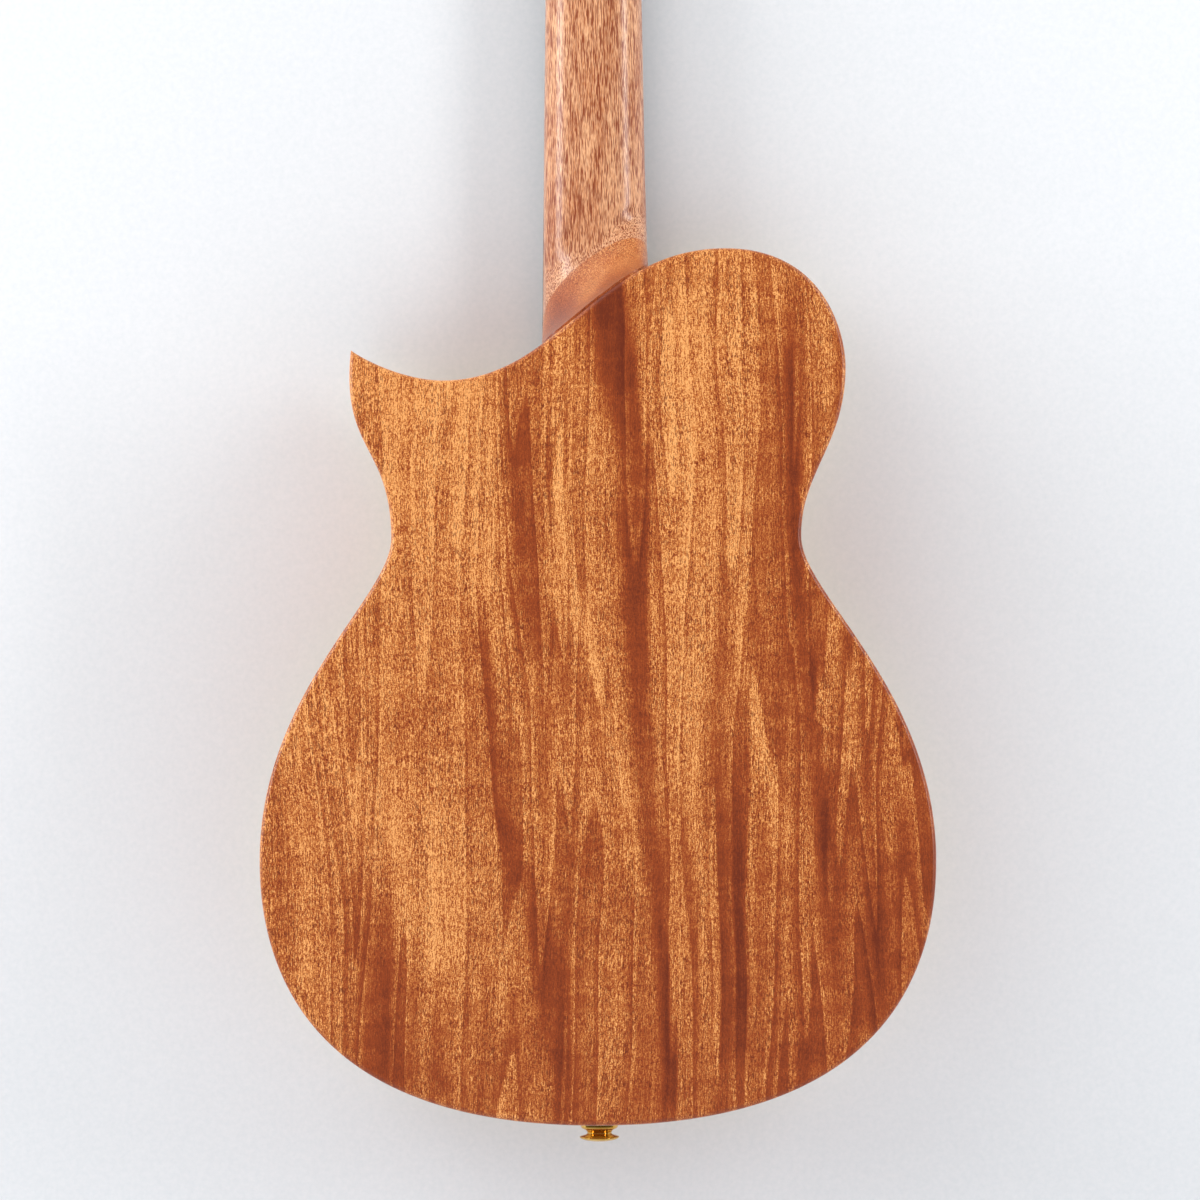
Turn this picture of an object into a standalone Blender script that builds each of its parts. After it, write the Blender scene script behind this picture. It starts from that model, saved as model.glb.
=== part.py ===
"""Baritone ukulele with a pointed cutaway, as an assembly of its separate pieces.

Sizes are in millimetres and become metres when a mesh is finished. +X is the treble
side, -Y the soundboard side and +Z the way to the headstock. The origin lies on the
centre line, at the fretboard side of the nut and level with the soundboard's face.
"""

import math

import bmesh
import bpy
import numpy as np
from mathutils import Matrix, Vector
from mathutils.geometry import interpolate_bezier

MM = 0.001

# Glued and seated faces lie this far apart
SEAT = 0.3
# Cutters run this far past what they cut
OVERRUN = 20.0

# Strings and scale
SCALE_LENGTH = 511.0
JOINT_FRET = 14
FRET_COUNT = 19
STRING_RADII = (0.36, 0.40, 0.44, 0.40)
NUT_SPACING = 9.3
SADDLE_SPACING = 13.5
STRING_AT_NUT = 7.8
STRING_AT_SADDLE = 12.1
SADDLE_COMPENSATION = 2.0

# Neck and fretboard
NUT_WIDTH = 36.0
JOINT_WIDTH = 44.0
NECK_DEPTH_AT_NUT = 14.5
NECK_DEPTH_AT_HEEL = 17.0
NUT_BLEND = 20.0
HEEL_RUN_UP = 60.0
FRETBOARD_THICKNESS = 5.5
FRET_CROWN_WIDTH = 2.2
FRET_CROWN_HEIGHT = 1.0
FRET_END_INSET = 0.4
NUT_THICKNESS = 5.0
NUT_HEIGHT = 8.2
HEEL_GLUE_LINE = 18.5
HEEL_CAP_LENGTH = 3.0
HEEL_THROAT_LENGTH = 26.0
HEEL_CAP_STEP = 1.6
TENON_WIDTH = 20.0
TENON_LENGTH = 16.0
TENON_END_CLEARANCE = 6.0
TENON_ROOT = 2.5

# Body outline: distances from the centre line, heights above the tail and drops below the top
BODY_LENGTH = 357.0
LOWER_BOUT_HALF = 137.7
LOWER_BOUT_HEIGHT = 107.5
WAIST_HALF = 83.6
WAIST_HEIGHT = 239.0
BASS_BOUT_HALF = 102.2
BASS_BOUT_DROP = 48.5
SHOULDER_OFFSET = 53.0
CUTAWAY_OFFSET = 62.0
CUTAWAY_DROP = 53.5
HORN_OFFSET = 99.8
HORN_DROP = 41.0
HORN_ARRIVAL_DEG = 37.0
HORN_LEAVING_DEG = -83.7
# How far each bend of the outline stays close to its tangent
TAIL_REACH = 117.0
BOUT_REACH_TO_TAIL = 44.6
BOUT_REACH_TO_WAIST = 69.3
WAIST_REACH_DOWN = 23.6
WAIST_REACH_UP = 26.6
BASS_REACH_DOWN = 31.8
BASS_REACH_UP = 12.8
SHOULDER_REACH_OUT = 41.5
SHOULDER_REACH_IN = 52.5
CUTAWAY_REACH_IN = 47.2
CUTAWAY_REACH_OUT = 16.2
HORN_REACH_IN = 6.0
HORN_REACH_DOWN = 42.0
TREBLE_WAIST_REACH_UP = 38.7

# Body construction
DEPTH_AT_TAIL = 84.0
DEPTH_AT_TOP = 72.0
SOUNDBOARD_THICKNESS = 2.4
BACK_THICKNESS = 2.6
SIDE_THICKNESS = 2.2
EDGE_ROUNDING = 2.0
LINING_WIDTH = 5.0
LINING_HEIGHT = 12.0
NECK_BLOCK_HALF = 30.0
NECK_BLOCK_TO_BRACE = 2.0
TAIL_BLOCK_HALF = 26.0
TAIL_BLOCK_THICKNESS = 14.0
HORN_BLOCK_REACH = 24.0
SOUNDHOLE_RADIUS = 33.0
ROSETTE_INNER = 37.0
ROSETTE_OUTER = 43.0
ROSETTE_THICKNESS = 1.2
ROSETTE_TO_FRETBOARD = 5.0
BRACE_WIDTH = 8.0
BRACE_HEIGHT = 11.0
BRACE_END_HEIGHT = 4.0
BRACE_END_LENGTH = 22.0
BACK_BRACE_COUNT = 3
BACK_BRACE_TO_TAIL_BLOCK = 39.5
BACK_BRACE_TO_NECK_BLOCK = 16.5
LOWER_BRACE_TO_ROSETTE = 7.0
UPPER_BRACE_TO_HOLE = 3.0
FAN_BRACE_WIDTH = 5.0
FAN_BRACE_HEIGHT = 6.0
FAN_BRACE_TO_TAIL_BLOCK = 5.0
FAN_BRACE_SPACING = 34.0
FAN_BRACE_SPREAD_DEG = 7.0

# Bridge
BRIDGE_LENGTH = 112.0
BRIDGE_HEIGHT = 8.0
BRIDGE_CENTRE_LENGTH = 60.0
BRIDGE_WING_HEIGHT = 3.6
BRIDGE_FRONT = 8.0
BRIDGE_BACK = 20.0
SADDLE_THICKNESS = 3.0
SADDLE_LENGTH = 50.0
SADDLE_SEAT = 3.4
TROUGH_WIDTH = 6.0
TROUGH_FLOOR = 3.6
TIE_HOLE_RADIUS = 1.1
TIE_HOLE_HEIGHT = 5.4
BRIDGE_TIP = 8.0

# Headstock, measured along its own face from the nut
HEAD_ANGLE_DEG = 13.0
HEAD_THICKNESS = 14.0
HEAD_VENEER = 1.8
HEAD_LENGTH = 160.0
HEAD_FLARE_HALF = 30.0
HEAD_FLARE_REACH = 38.0
HEAD_TOP_HALF = 33.0
HEAD_TOP_REACH = 144.0
HEAD_BLEND = 28.0

# Tuning machines
POST_OFFSET = 17.0
POST_REACHES = (54.0, 110.0)
POST_RADIUS = 3.0
POST_WAIST_RADIUS = 2.6
POST_HEIGHT = 15.0
POST_WAIST_START = 2.6
POST_WAIST_END = 8.0
POST_WAIST_SLOPE = 0.8
STRING_HOLE_RADIUS = 0.8
STRING_HOLE_DROP = 6.2
BUSHING_RADIUS = 4.5
BUSHING_COLLAR_RADIUS = 6.2
BUSHING_COLLAR_HEIGHT = 1.2
BUSHING_LENGTH = 9.0
PLATE_LENGTH = 31.0
PLATE_WIDTH = 15.0
PLATE_SHIFT = -3.0
PLATE_THICKNESS = 1.0
PLATE_CORNER = 4.5
PLATE_SCREW_SPACING = 25.0
PLATE_SCREW_HOLE = 1.2
GEAR_TEETH = 14
GEAR_PITCH_RADIUS = 4.4
GEAR_THICKNESS = 3.0
WORM_PITCH_RADIUS = 2.3
WORM_TURNS = 3.5
WORM_STEPS_PER_TURN = 8
TOOTH_ADDENDUM = 0.45
TOOTH_DEDENDUM = 0.55
TOOTH_THICKNESS = 0.8
TOOTH_SLOPE = math.tan(math.radians(20))
WORM_AXIS_HEIGHT = 3.3
SHAFT_RADIUS = 1.5
EAR_THICKNESS = 1.0
EAR_RADIUS = 2.5
EAR_CLEARANCE = 0.4
BUTTON_GAP_TO_HEAD = 4.5
BUTTON_LENGTH = 13.0
BUTTON_RADIUS = 8.5
BUTTON_FLATNESS = 0.5
BUTTON_SOCKET = 7.0

# String winding on each post
WINDING_TURNS = 3
WINDING_STEPS = 24
WINDING_GAP = 0.55
WINDING_TOP = 12.2

# Strap button on the tail, from the tail outwards: (radius, distance)
STRAP_BUTTON_PROFILE = (
    (7.8, 0.0), (7.8, 4.0), (7.4, 4.7), (5.7, 5.5), (4.9, 6.5),
    (5.4, 7.3), (8.2, 8.1), (8.2, 8.6), (7.4, 9.2), (5.8, 9.7), (4.2, 10.0),
)
STRAP_SCREW_RADIUS = 1.7
STRAP_SCREW_HEAD_RADIUS = 3.3
STRAP_SCREW_CLEARANCE = 0.5
STRAP_SCREW_LENGTH = 24.0

# Neck bolts, from inside the body through the block into the tenon
NECK_BOLT_DEPTHS = (28.0, 50.0)
NECK_BOLT_RADIUS = 3.0
NECK_BOLT_HEAD_RADIUS = 5.5
NECK_BOLT_HEAD_HEIGHT = 4.0
NECK_BOLT_WASHER_RADIUS = 8.0
NECK_BOLT_WASHER_HEIGHT = 1.2
NECK_BOLT_BITE = 10.0

ROUND_SEGMENTS = 16
SHARP_ANGLE = math.radians(35)


def clear_scene():
    for obj in list(bpy.data.objects):
        bpy.data.objects.remove(obj)
    for collection in list(bpy.data.collections):
        bpy.data.collections.remove(collection)


def new_collection(name):
    collection = bpy.data.collections.new(name)
    bpy.context.scene.collection.children.link(collection)
    return collection


clear_scene()
PARTS = new_collection("baritone_ukulele")
CUTTERS = new_collection("cutters")


def new_material(name, colour, roughness, metallic=0.0):
    material = bpy.data.materials.new(name)
    material.use_nodes = True
    shader = material.node_tree.nodes["Principled BSDF"]
    shader.inputs["Base Color"].default_value = (*colour, 1.0)
    shader.inputs["Roughness"].default_value = roughness
    shader.inputs["Metallic"].default_value = metallic
    return material


MAHOGANY = new_material("mahogany", (0.50, 0.20, 0.07), 0.35)
NECK_MAHOGANY = new_material("neck_mahogany", (0.55, 0.27, 0.13), 0.45)
SPRUCE = new_material("spruce", (0.75, 0.52, 0.28), 0.4)
ROSEWOOD = new_material("rosewood", (0.07, 0.03, 0.02), 0.45)
BONE = new_material("bone", (0.80, 0.76, 0.66), 0.35)
NYLON = new_material("nylon_string", (0.80, 0.78, 0.72), 0.3)
WOUND = new_material("wound_string", (0.70, 0.66, 0.60), 0.35, 0.8)
GOLD = new_material("gold_plate", (0.85, 0.58, 0.18), 0.2, 1.0)
STEEL = new_material("steel", (0.60, 0.60, 0.60), 0.3, 1.0)
EBONY = new_material("ebony", (0.02, 0.018, 0.016), 0.3)


# Helpers that make one object each

def finish(name, shape, material, parent=None, cutter=False):
    """The object of a bmesh in millimetres, with its faces pointing out."""
    bmesh.ops.recalc_face_normals(shape, faces=shape.faces)
    shape.transform(Matrix.Scale(MM, 4))
    mesh = bpy.data.meshes.new(name)
    shape.to_mesh(mesh)
    shape.free()
    return add_object(name, mesh, material, parent, cutter)


def add_object(name, data, material=None, parent=None, cutter=False):
    obj = bpy.data.objects.new(name, data)
    (CUTTERS if cutter else PARTS).objects.link(obj)
    if cutter:
        obj.hide_render = True
        obj.display_type = "WIRE"
    if material and not data.materials:
        data.materials.append(material)
    obj.parent = parent
    return obj


def new_frame(name, place=(0, 0, 0), turn=(0, 0, 0), parent=None):
    """An empty that pieces are placed by; place is in millimetres."""
    frame = bpy.data.objects.new(name, None)
    PARTS.objects.link(frame)
    frame.location = Vector(place) * MM
    frame.rotation_euler = turn
    frame.parent = parent
    return frame


def smooth(obj):
    """Shades round pieces smooth, with their corners kept."""
    obj.data.shade_smooth()
    obj.data.set_sharp_from_angle(angle=SHARP_ANGLE)
    return obj


def value_at(level, a, b):
    return level(a, b) if callable(level) else level


def prism(name, outline, axis, start, end, material=None, parent=None, cutter=False):
    """A flat outline pushed along one axis, between numbers or functions of its two values."""
    order = {"x": (2, 0, 1), "y": (0, 2, 1), "z": (0, 1, 2)}[axis]
    shape = bmesh.new()
    first = [
        shape.verts.new([(a, b, value_at(start, a, b))[k] for k in order])
        for a, b in outline
    ]
    face = shape.faces.new(first)
    pushed = bmesh.ops.extrude_face_region(shape, geom=[face])["geom"]
    along = "xyz".index(axis)
    across = [k for k in range(3) if k != along]
    for vert in (v for v in pushed if isinstance(v, bmesh.types.BMVert)):
        vert.co[along] = value_at(end, vert.co[across[0]], vert.co[across[1]])
    return finish(name, shape, material, parent, cutter)


def drill(name, radius, start, end, axis="z", segments=ROUND_SEGMENTS, centre=(0, 0, 0), parent=None):
    """A round cutter along one axis from start to end."""
    shape = bmesh.new()
    bmesh.ops.create_cone(
        shape, cap_ends=True, segments=segments,
        radius1=radius, radius2=radius, depth=end - start,
    )
    bmesh.ops.translate(shape, verts=shape.verts, vec=(0, 0, (start + end) / 2))
    turns = {"x": Matrix.Rotation(math.pi / 2, 4, "Y"),
             "y": Matrix.Rotation(-math.pi / 2, 4, "X"),
             "z": Matrix.Identity(4)}
    shape.transform(Matrix.Translation(centre) @ turns[axis])
    return finish(name, shape, None, parent, True)


def turned(name, profile, material, parent=None, segments=ROUND_SEGMENTS, closed=False, cutter=False):
    """A lathe-turned piece round its local Z, whose (radius, height) profile runs down."""
    mesh = bpy.data.meshes.new(name)
    points = [(r * MM, 0.0, h * MM) for r, h in profile]
    edges = [(i, i + 1) for i in range(len(points) - 1)]
    if closed:
        edges.append((len(points) - 1, 0))
    mesh.from_pydata(points, edges, [])
    obj = add_object(name, mesh, material, parent, cutter)
    screw = obj.modifiers.new("turn", "SCREW")
    screw.steps = screw.render_steps = segments
    screw.use_merge_vertices = True
    screw.merge_threshold = 0.00001
    screw.use_smooth_shade = True
    return obj


def tube(name, points, radius, material):
    """A round string through its points, with closed ends."""
    curve = bpy.data.curves.new(name, "CURVE")
    curve.dimensions = "3D"
    curve.bevel_depth = radius * MM
    curve.bevel_resolution = 1
    curve.use_fill_caps = True
    spline = curve.splines.new("POLY")
    spline.points.add(len(points) - 1)
    for point, place in zip(spline.points, points):
        point.co = (*(Vector(place) * MM), 1.0)
    return add_object(name, curve, material)


def boolean(obj, tool, operation="DIFFERENCE"):
    modifier = obj.modifiers.new(tool.name, "BOOLEAN")
    modifier.operation = operation
    modifier.object = tool
    return obj


def loft(name, rings, material, parent=None, cutter=False):
    """Closed rings of equal count joined in order with flat triangles, with both ends filled."""
    shape = bmesh.new()
    rows = [[shape.verts.new(point) for point in ring] for ring in rings]
    count = len(rows[0])
    for near, far in zip(rows, rows[1:]):
        for k in range(count):
            shape.faces.new((near[k], near[(k + 1) % count], far[(k + 1) % count], far[k]))
    bmesh.ops.triangulate(shape, faces=shape.faces)
    shape.faces.new(rows[0])
    shape.faces.new(rows[-1][::-1])
    return finish(name, shape, material, parent, cutter)


# Rules of the instrument

def fret_place(number):
    """Distance from the nut to a fret on an equal-tempered scale."""
    return SCALE_LENGTH * (1 - 2 ** (-number / 12))


def half_width(distance):
    """Half the fretboard's width at a distance from the nut."""
    share = distance / fret_place(JOINT_FRET)
    return (NUT_WIDTH + (JOINT_WIDTH - NUT_WIDTH) * share) / 2


def polar(degrees, length):
    angle = math.radians(degrees)
    return Vector((math.cos(angle), math.sin(angle))) * length


def bezier_points(start, start_reach, end_reach, end, count):
    """Points along one bend of an outline, without its last point."""
    handles = [Vector(start), Vector(start) + start_reach, Vector(end) + end_reach, Vector(end)]
    path = interpolate_bezier(*[h.to_3d() for h in handles], count + 1)
    return [(p.x, p.y) for p in path[:-1]]


def body_outline():
    """The body from the horn's tip along the cutaway and round, with its shoulder's and tail's places."""
    tail = (0.0, 0.0)
    bass_bout = (-LOWER_BOUT_HALF, LOWER_BOUT_HEIGHT)
    bass_waist = (-WAIST_HALF, WAIST_HEIGHT)
    bass_upper = (-BASS_BOUT_HALF, BODY_LENGTH - BASS_BOUT_DROP)
    shoulder = (-SHOULDER_OFFSET, BODY_LENGTH)
    cutaway = (CUTAWAY_OFFSET, BODY_LENGTH - CUTAWAY_DROP)
    horn = (HORN_OFFSET, BODY_LENGTH - HORN_DROP)
    treble_waist = (WAIST_HALF, WAIST_HEIGHT)
    treble_bout = (LOWER_BOUT_HALF, LOWER_BOUT_HEIGHT)
    left, right = Vector((-1, 0)), Vector((1, 0))
    up, down = Vector((0, 1)), Vector((0, -1))
    bends = (
        (horn, -polar(HORN_ARRIVAL_DEG, HORN_REACH_IN), right * CUTAWAY_REACH_OUT, cutaway, 4),
        (cutaway, left * CUTAWAY_REACH_IN, right * SHOULDER_REACH_IN, shoulder, 12),
        (shoulder, left * SHOULDER_REACH_OUT, up * BASS_REACH_UP, bass_upper, 10),
        (bass_upper, down * BASS_REACH_DOWN, up * WAIST_REACH_UP, bass_waist, 7),
        (bass_waist, down * WAIST_REACH_DOWN, up * BOUT_REACH_TO_WAIST, bass_bout, 12),
        (bass_bout, down * BOUT_REACH_TO_TAIL, left * TAIL_REACH, tail, 13),
        (tail, right * TAIL_REACH, down * BOUT_REACH_TO_TAIL, treble_bout, 13),
        (treble_bout, up * BOUT_REACH_TO_WAIST, down * WAIST_REACH_DOWN, treble_waist, 12),
        (treble_waist, up * TREBLE_WAIST_REACH_UP, polar(HORN_LEAVING_DEG, HORN_REACH_DOWN), horn, 7),
    )
    points = []
    for bend in bends:
        points += bezier_points(*bend)
    starts = np.cumsum([0] + [bend[-1] for bend in bends])
    return np.array(points), int(starts[2]), int(starts[6])


OUTLINE, SHOULDER_POINT, TAIL_POINT = body_outline()


class Rim:
    """The outline as an open line from the horn's tip round to it, with the way inwards at each point."""

    def __init__(self, outline):
        self.points = np.vstack([outline, outline[:1]])
        steps = np.diff(self.points, axis=0)
        self.lengths = np.concatenate([[0.0], np.cumsum(np.hypot(*steps.T))])
        along = np.gradient(self.points, self.lengths, axis=0)
        along /= np.hypot(*along.T)[:, None]
        self.inward = np.stack([-along[:, 1], along[:, 0]], axis=1)

    @property
    def total(self):
        return self.lengths[-1]

    def line(self, start, end, inset):
        """The outline from one length to another, moved inwards."""
        inner = self.lengths[(self.lengths > start + 0.5) & (self.lengths < end - 0.5)]
        at = np.concatenate([[start], inner, [end]])
        place = np.stack([np.interp(at, self.lengths, self.points[:, k]) for k in (0, 1)], axis=1)
        way = np.stack([np.interp(at, self.lengths, self.inward[:, k]) for k in (0, 1)], axis=1)
        return place + way / np.hypot(*way.T)[:, None] * inset

    def band(self, start, end, near, far, start_mitre=0.0, end_mitre=0.0):
        """The closed outline of a strip that follows the rim between two insets."""
        outer = self.line(start, end, near)
        inner = self.line(start + start_mitre, end - end_mitre, far)
        return [tuple(p) for p in outer] + [tuple(p) for p in inner[::-1]]

    def slope(self, length):
        """How much the rim falls for each step towards the bass side, at a length."""
        way = [np.interp(length, self.lengths, self.inward[:, k]) for k in (0, 1)]
        return float(way[0] / way[1])

    def length_at_x(self, x, low, high):
        """The length, between two others, where the rim crosses a distance from the centre line."""
        at = np.linspace(low, high, 2000)
        across = np.interp(at, self.lengths, self.points[:, 0])
        return float(at[np.argmin(np.abs(across - x))])

    def height_at_x(self, x):
        """Height of the edge between shoulder and cutaway, at a distance from the centre line."""
        at = self.length_at_x(x, 0.0, SHOULDER_LENGTH)
        return float(np.interp(at, self.lengths, self.points[:, 1]))

    def inner_reach(self, height, inset, side):
        """Distance from the centre line to the rim's inside at a height."""
        line = self.points + self.inward * inset
        line = line[line[:, 0] * side > 0]
        near = np.abs(line[:, 1] - height)
        order = np.argsort(near)[:2]
        weight = near[order][::-1] / near[order].sum()
        return float(abs((line[order, 0] * weight).sum()))


RIM = Rim(OUTLINE)
SHOULDER_LENGTH = RIM.lengths[SHOULDER_POINT]
TAIL_LENGTH = RIM.lengths[TAIL_POINT]
HORN_HALF_ANGLE = math.radians((180 - HORN_ARRIVAL_DEG + HORN_LEAVING_DEG) / 2)

JOINT_HEIGHT = RIM.height_at_x(-JOINT_WIDTH / 2)
TREBLE_JOINT_HEIGHT = RIM.height_at_x(JOINT_WIDTH / 2)
CENTRE_JOINT_HEIGHT = RIM.height_at_x(0.0)
TAIL_Z = -fret_place(JOINT_FRET) - JOINT_HEIGHT
DEPTH_SLOPE = (DEPTH_AT_TOP - DEPTH_AT_TAIL) / BODY_LENGTH
HEAD_START = NUT_THICKNESS + SEAT
HEAD_ANGLE = math.radians(HEAD_ANGLE_DEG)


def back_face(x, height):
    """The back's outer face, which leans so that the body is shallower at the top."""
    return DEPTH_AT_TAIL + DEPTH_SLOPE * height


def back_inside(x, height):
    return back_face(x, height) - BACK_THICKNESS - SEAT


def above_back(rise):
    """A level inside the body, a given rise from the back's inside."""
    return lambda x, height: back_inside(x, height) - rise


def top_inside(x, height):
    return TOP_INSIDE


TOP_INSIDE = SOUNDBOARD_THICKNESS + SEAT

BODY_FRAME = new_frame("body_frame", (0, 0, TAIL_Z))
HEAD_FRAME = new_frame("head_frame", (0, 0, HEAD_START), (-HEAD_ANGLE, 0, 0))


def body_to_world(height):
    return TAIL_Z + height


# The sound box

def make_back():
    """One plate whose outer edge is rounded over all round."""
    outline = [tuple(p) for p in OUTLINE]
    back = prism(
        "back_plate", outline, "y",
        lambda x, h: back_face(x, h) - BACK_THICKNESS, back_face, MAHOGANY, BODY_FRAME,
    )
    weights = back.data.attributes.new("bevel_weight_edge", "FLOAT", "EDGE")
    for edge in back.data.edges:
        ends = [back.data.vertices[i].co / MM for i in edge.vertices]
        on_face = all(abs(p.y - back_face(p.x, p.z)) < 0.01 for p in ends)
        weights.data[edge.index].value = float(on_face)
    bevel = back.modifiers.new("rounded_edge", "BEVEL")
    bevel.limit_method = "WEIGHT"
    bevel.width = EDGE_ROUNDING * MM
    bevel.segments = 2
    smooth(back)


def make_soundboard():
    soundboard = prism(
        "soundboard", [tuple(p) for p in OUTLINE], "y", 0.0, SOUNDBOARD_THICKNESS, SPRUCE, BODY_FRAME,
    )
    hole = drill(
        "soundhole_cutter", SOUNDHOLE_RADIUS, -OVERRUN, OVERRUN, "y", 40,
        (0, 0, SOUNDHOLE_HEIGHT), BODY_FRAME,
    )
    boolean(soundboard, hole)
    channel = ring(
        "rosette_cutter", ROSETTE_INNER - SEAT, ROSETTE_OUTER + SEAT,
        -OVERRUN, ROSETTE_THICKNESS + SEAT, None, cutter=True,
    )
    boolean(soundboard, channel)
    ring("rosette", ROSETTE_INNER, ROSETTE_OUTER, 0.0, ROSETTE_THICKNESS, ROSEWOOD)


def ring(name, inner, outer, front, back, material, cutter=False):
    """A flat ring round the soundhole."""
    profile = [(inner, -front), (outer, -front), (outer, -back), (inner, -back)]
    obj = turned(name, profile, material, BODY_FRAME, 40, closed=True, cutter=cutter)
    obj.location = Vector((0, 0, SOUNDHOLE_HEIGHT)) * MM
    obj.rotation_euler = (math.pi / 2, 0, 0)
    return obj


SOUNDHOLE_HEIGHT = -TAIL_Z - fret_place(FRET_COUNT) - ROSETTE_TO_FRETBOARD - ROSETTE_OUTER
LOWER_BRACE_HEIGHT = SOUNDHOLE_HEIGHT - ROSETTE_OUTER - LOWER_BRACE_TO_ROSETTE - BRACE_WIDTH / 2
UPPER_BRACE_HEIGHT = SOUNDHOLE_HEIGHT + SOUNDHOLE_RADIUS + UPPER_BRACE_TO_HOLE + BRACE_WIDTH / 2
NECK_BLOCK_FOOT = UPPER_BRACE_HEIGHT + BRACE_WIDTH / 2 + NECK_BLOCK_TO_BRACE
TAIL_BLOCK_TOP = SIDE_THICKNESS + SEAT + TAIL_BLOCK_THICKNESS
TENON_SLOT_HALF = TENON_WIDTH / 2 + SEAT
BASS_TENON_LENGTH = RIM.length_at_x(-TENON_SLOT_HALF, 0, SHOULDER_LENGTH)
TREBLE_TENON_LENGTH = RIM.length_at_x(TENON_SLOT_HALF, 0, SHOULDER_LENGTH)


def make_sides():
    """Three bent sides: they part at the tail, at the horn's mitre and at the neck's tenon."""
    mitre = SIDE_THICKNESS / math.tan(HORN_HALF_ANGLE)
    seam = SEAT / 2 / math.sin(HORN_HALF_ANGLE)
    treble_skew = SIDE_THICKNESS * RIM.slope(TREBLE_TENON_LENGTH)
    bass_skew = SIDE_THICKNESS * RIM.slope(BASS_TENON_LENGTH)
    tail = TAIL_LENGTH - SEAT / 2
    bands = {
        "cutaway_side": RIM.band(seam, TREBLE_TENON_LENGTH, 0, SIDE_THICKNESS, mitre, treble_skew),
        "bass_side": RIM.band(BASS_TENON_LENGTH, tail, 0, SIDE_THICKNESS, -bass_skew),
        "treble_side": RIM.band(
            TAIL_LENGTH + SEAT / 2, RIM.total - seam, 0, SIDE_THICKNESS, 0, mitre
        ),
    }
    hole = drill(
        "strap_screw_hole_in_sides", STRAP_SCREW_RADIUS + SEAT, -OVERRUN, OVERRUN,
        centre=(0, STRAP_DEPTH, 0), parent=BODY_FRAME,
    )
    for name, band in bands.items():
        side = prism(name, band, "y", TOP_INSIDE, back_inside, MAHOGANY, BODY_FRAME)
        if name != "cutaway_side":
            boolean(side, hole)
        smooth(side)


STRAP_DEPTH = DEPTH_AT_TAIL / 2
LINING_NEAR = SIDE_THICKNESS + SEAT
LINING_FAR = LINING_NEAR + LINING_WIDTH


def make_linings():
    """Solid strips that widen the glued joint between each side and the plates."""
    clear_of_block = NECK_BLOCK_HALF + LINING_WIDTH + 0.5
    neck_bass = RIM.length_at_x(-clear_of_block, 0, SHOULDER_LENGTH)
    neck_treble = RIM.length_at_x(clear_of_block, 0, SHOULDER_LENGTH)
    tail_gap = TAIL_BLOCK_HALF + 1.5
    horn_gap = HORN_BLOCK_REACH + 1.0
    stretches = {
        "cutaway": (horn_gap, neck_treble),
        "bass": (neck_bass, TAIL_LENGTH - tail_gap),
        "treble": (TAIL_LENGTH + tail_gap, RIM.total - horn_gap),
    }
    for name, (start, end) in stretches.items():
        band = RIM.band(start, end, LINING_NEAR, LINING_FAR)
        for place, low, high in (
            ("top", TOP_INSIDE, TOP_INSIDE + LINING_HEIGHT),
            ("back", above_back(LINING_HEIGHT), back_inside),
        ):
            prism(f"{name}_{place}_lining", band, "y", low, high, SPRUCE, BODY_FRAME)


def make_blocks():
    """The solid blocks at the neck, at the tail and in the pointed horn."""
    start = RIM.length_at_x(NECK_BLOCK_HALF, 0, SHOULDER_LENGTH)
    end = RIM.length_at_x(-NECK_BLOCK_HALF, 0, SHOULDER_LENGTH)
    edge = [tuple(p) for p in RIM.line(start, end, LINING_NEAR)]
    outline = edge + [(edge[-1][0], NECK_BLOCK_FOOT), (edge[0][0], NECK_BLOCK_FOOT)]
    block = prism("neck_block", outline, "y", TOP_INSIDE, back_inside, MAHOGANY, BODY_FRAME)
    boolean(block, tenon("mortise_cutter", SEAT, BODY_TO_NECK, True))
    for number, depth in enumerate(NECK_BOLT_DEPTHS, 1):
        boolean(block, drill(
            f"neck_bolt_hole_{number}", NECK_BOLT_RADIUS + SEAT,
            NECK_BLOCK_FOOT - OVERRUN, CENTRE_JOINT_HEIGHT,
            centre=(0, depth, 0), parent=BODY_FRAME,
        ))
    edge = [
        tuple(p) for p in
        RIM.line(TAIL_LENGTH - TAIL_BLOCK_HALF, TAIL_LENGTH + TAIL_BLOCK_HALF, LINING_NEAR)
    ]
    outline = edge + [(edge[-1][0], TAIL_BLOCK_TOP), (edge[0][0], TAIL_BLOCK_TOP)]
    block = prism("tail_block", outline, "y", TOP_INSIDE, back_inside, MAHOGANY, BODY_FRAME)
    boolean(block, drill(
        "strap_screw_hole", STRAP_SCREW_RADIUS + SEAT, -OVERRUN, TAIL_BLOCK_TOP + OVERRUN,
        centre=(0, STRAP_DEPTH, 0), parent=BODY_FRAME,
    ))
    mitre = LINING_NEAR / math.tan(HORN_HALF_ANGLE)
    cutaway_edge = RIM.line(mitre, HORN_BLOCK_REACH, LINING_NEAR)
    treble_edge = RIM.line(RIM.total - HORN_BLOCK_REACH, RIM.total - mitre, LINING_NEAR)
    outline = [tuple(p) for p in cutaway_edge] + [tuple(p) for p in treble_edge[:-1]]
    prism("horn_block", outline, "y", TOP_INSIDE, back_inside, MAHOGANY, BODY_FRAME)


# In the body's frame the neck's own heights start at the nut
BODY_TO_NECK = -TAIL_Z


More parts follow.
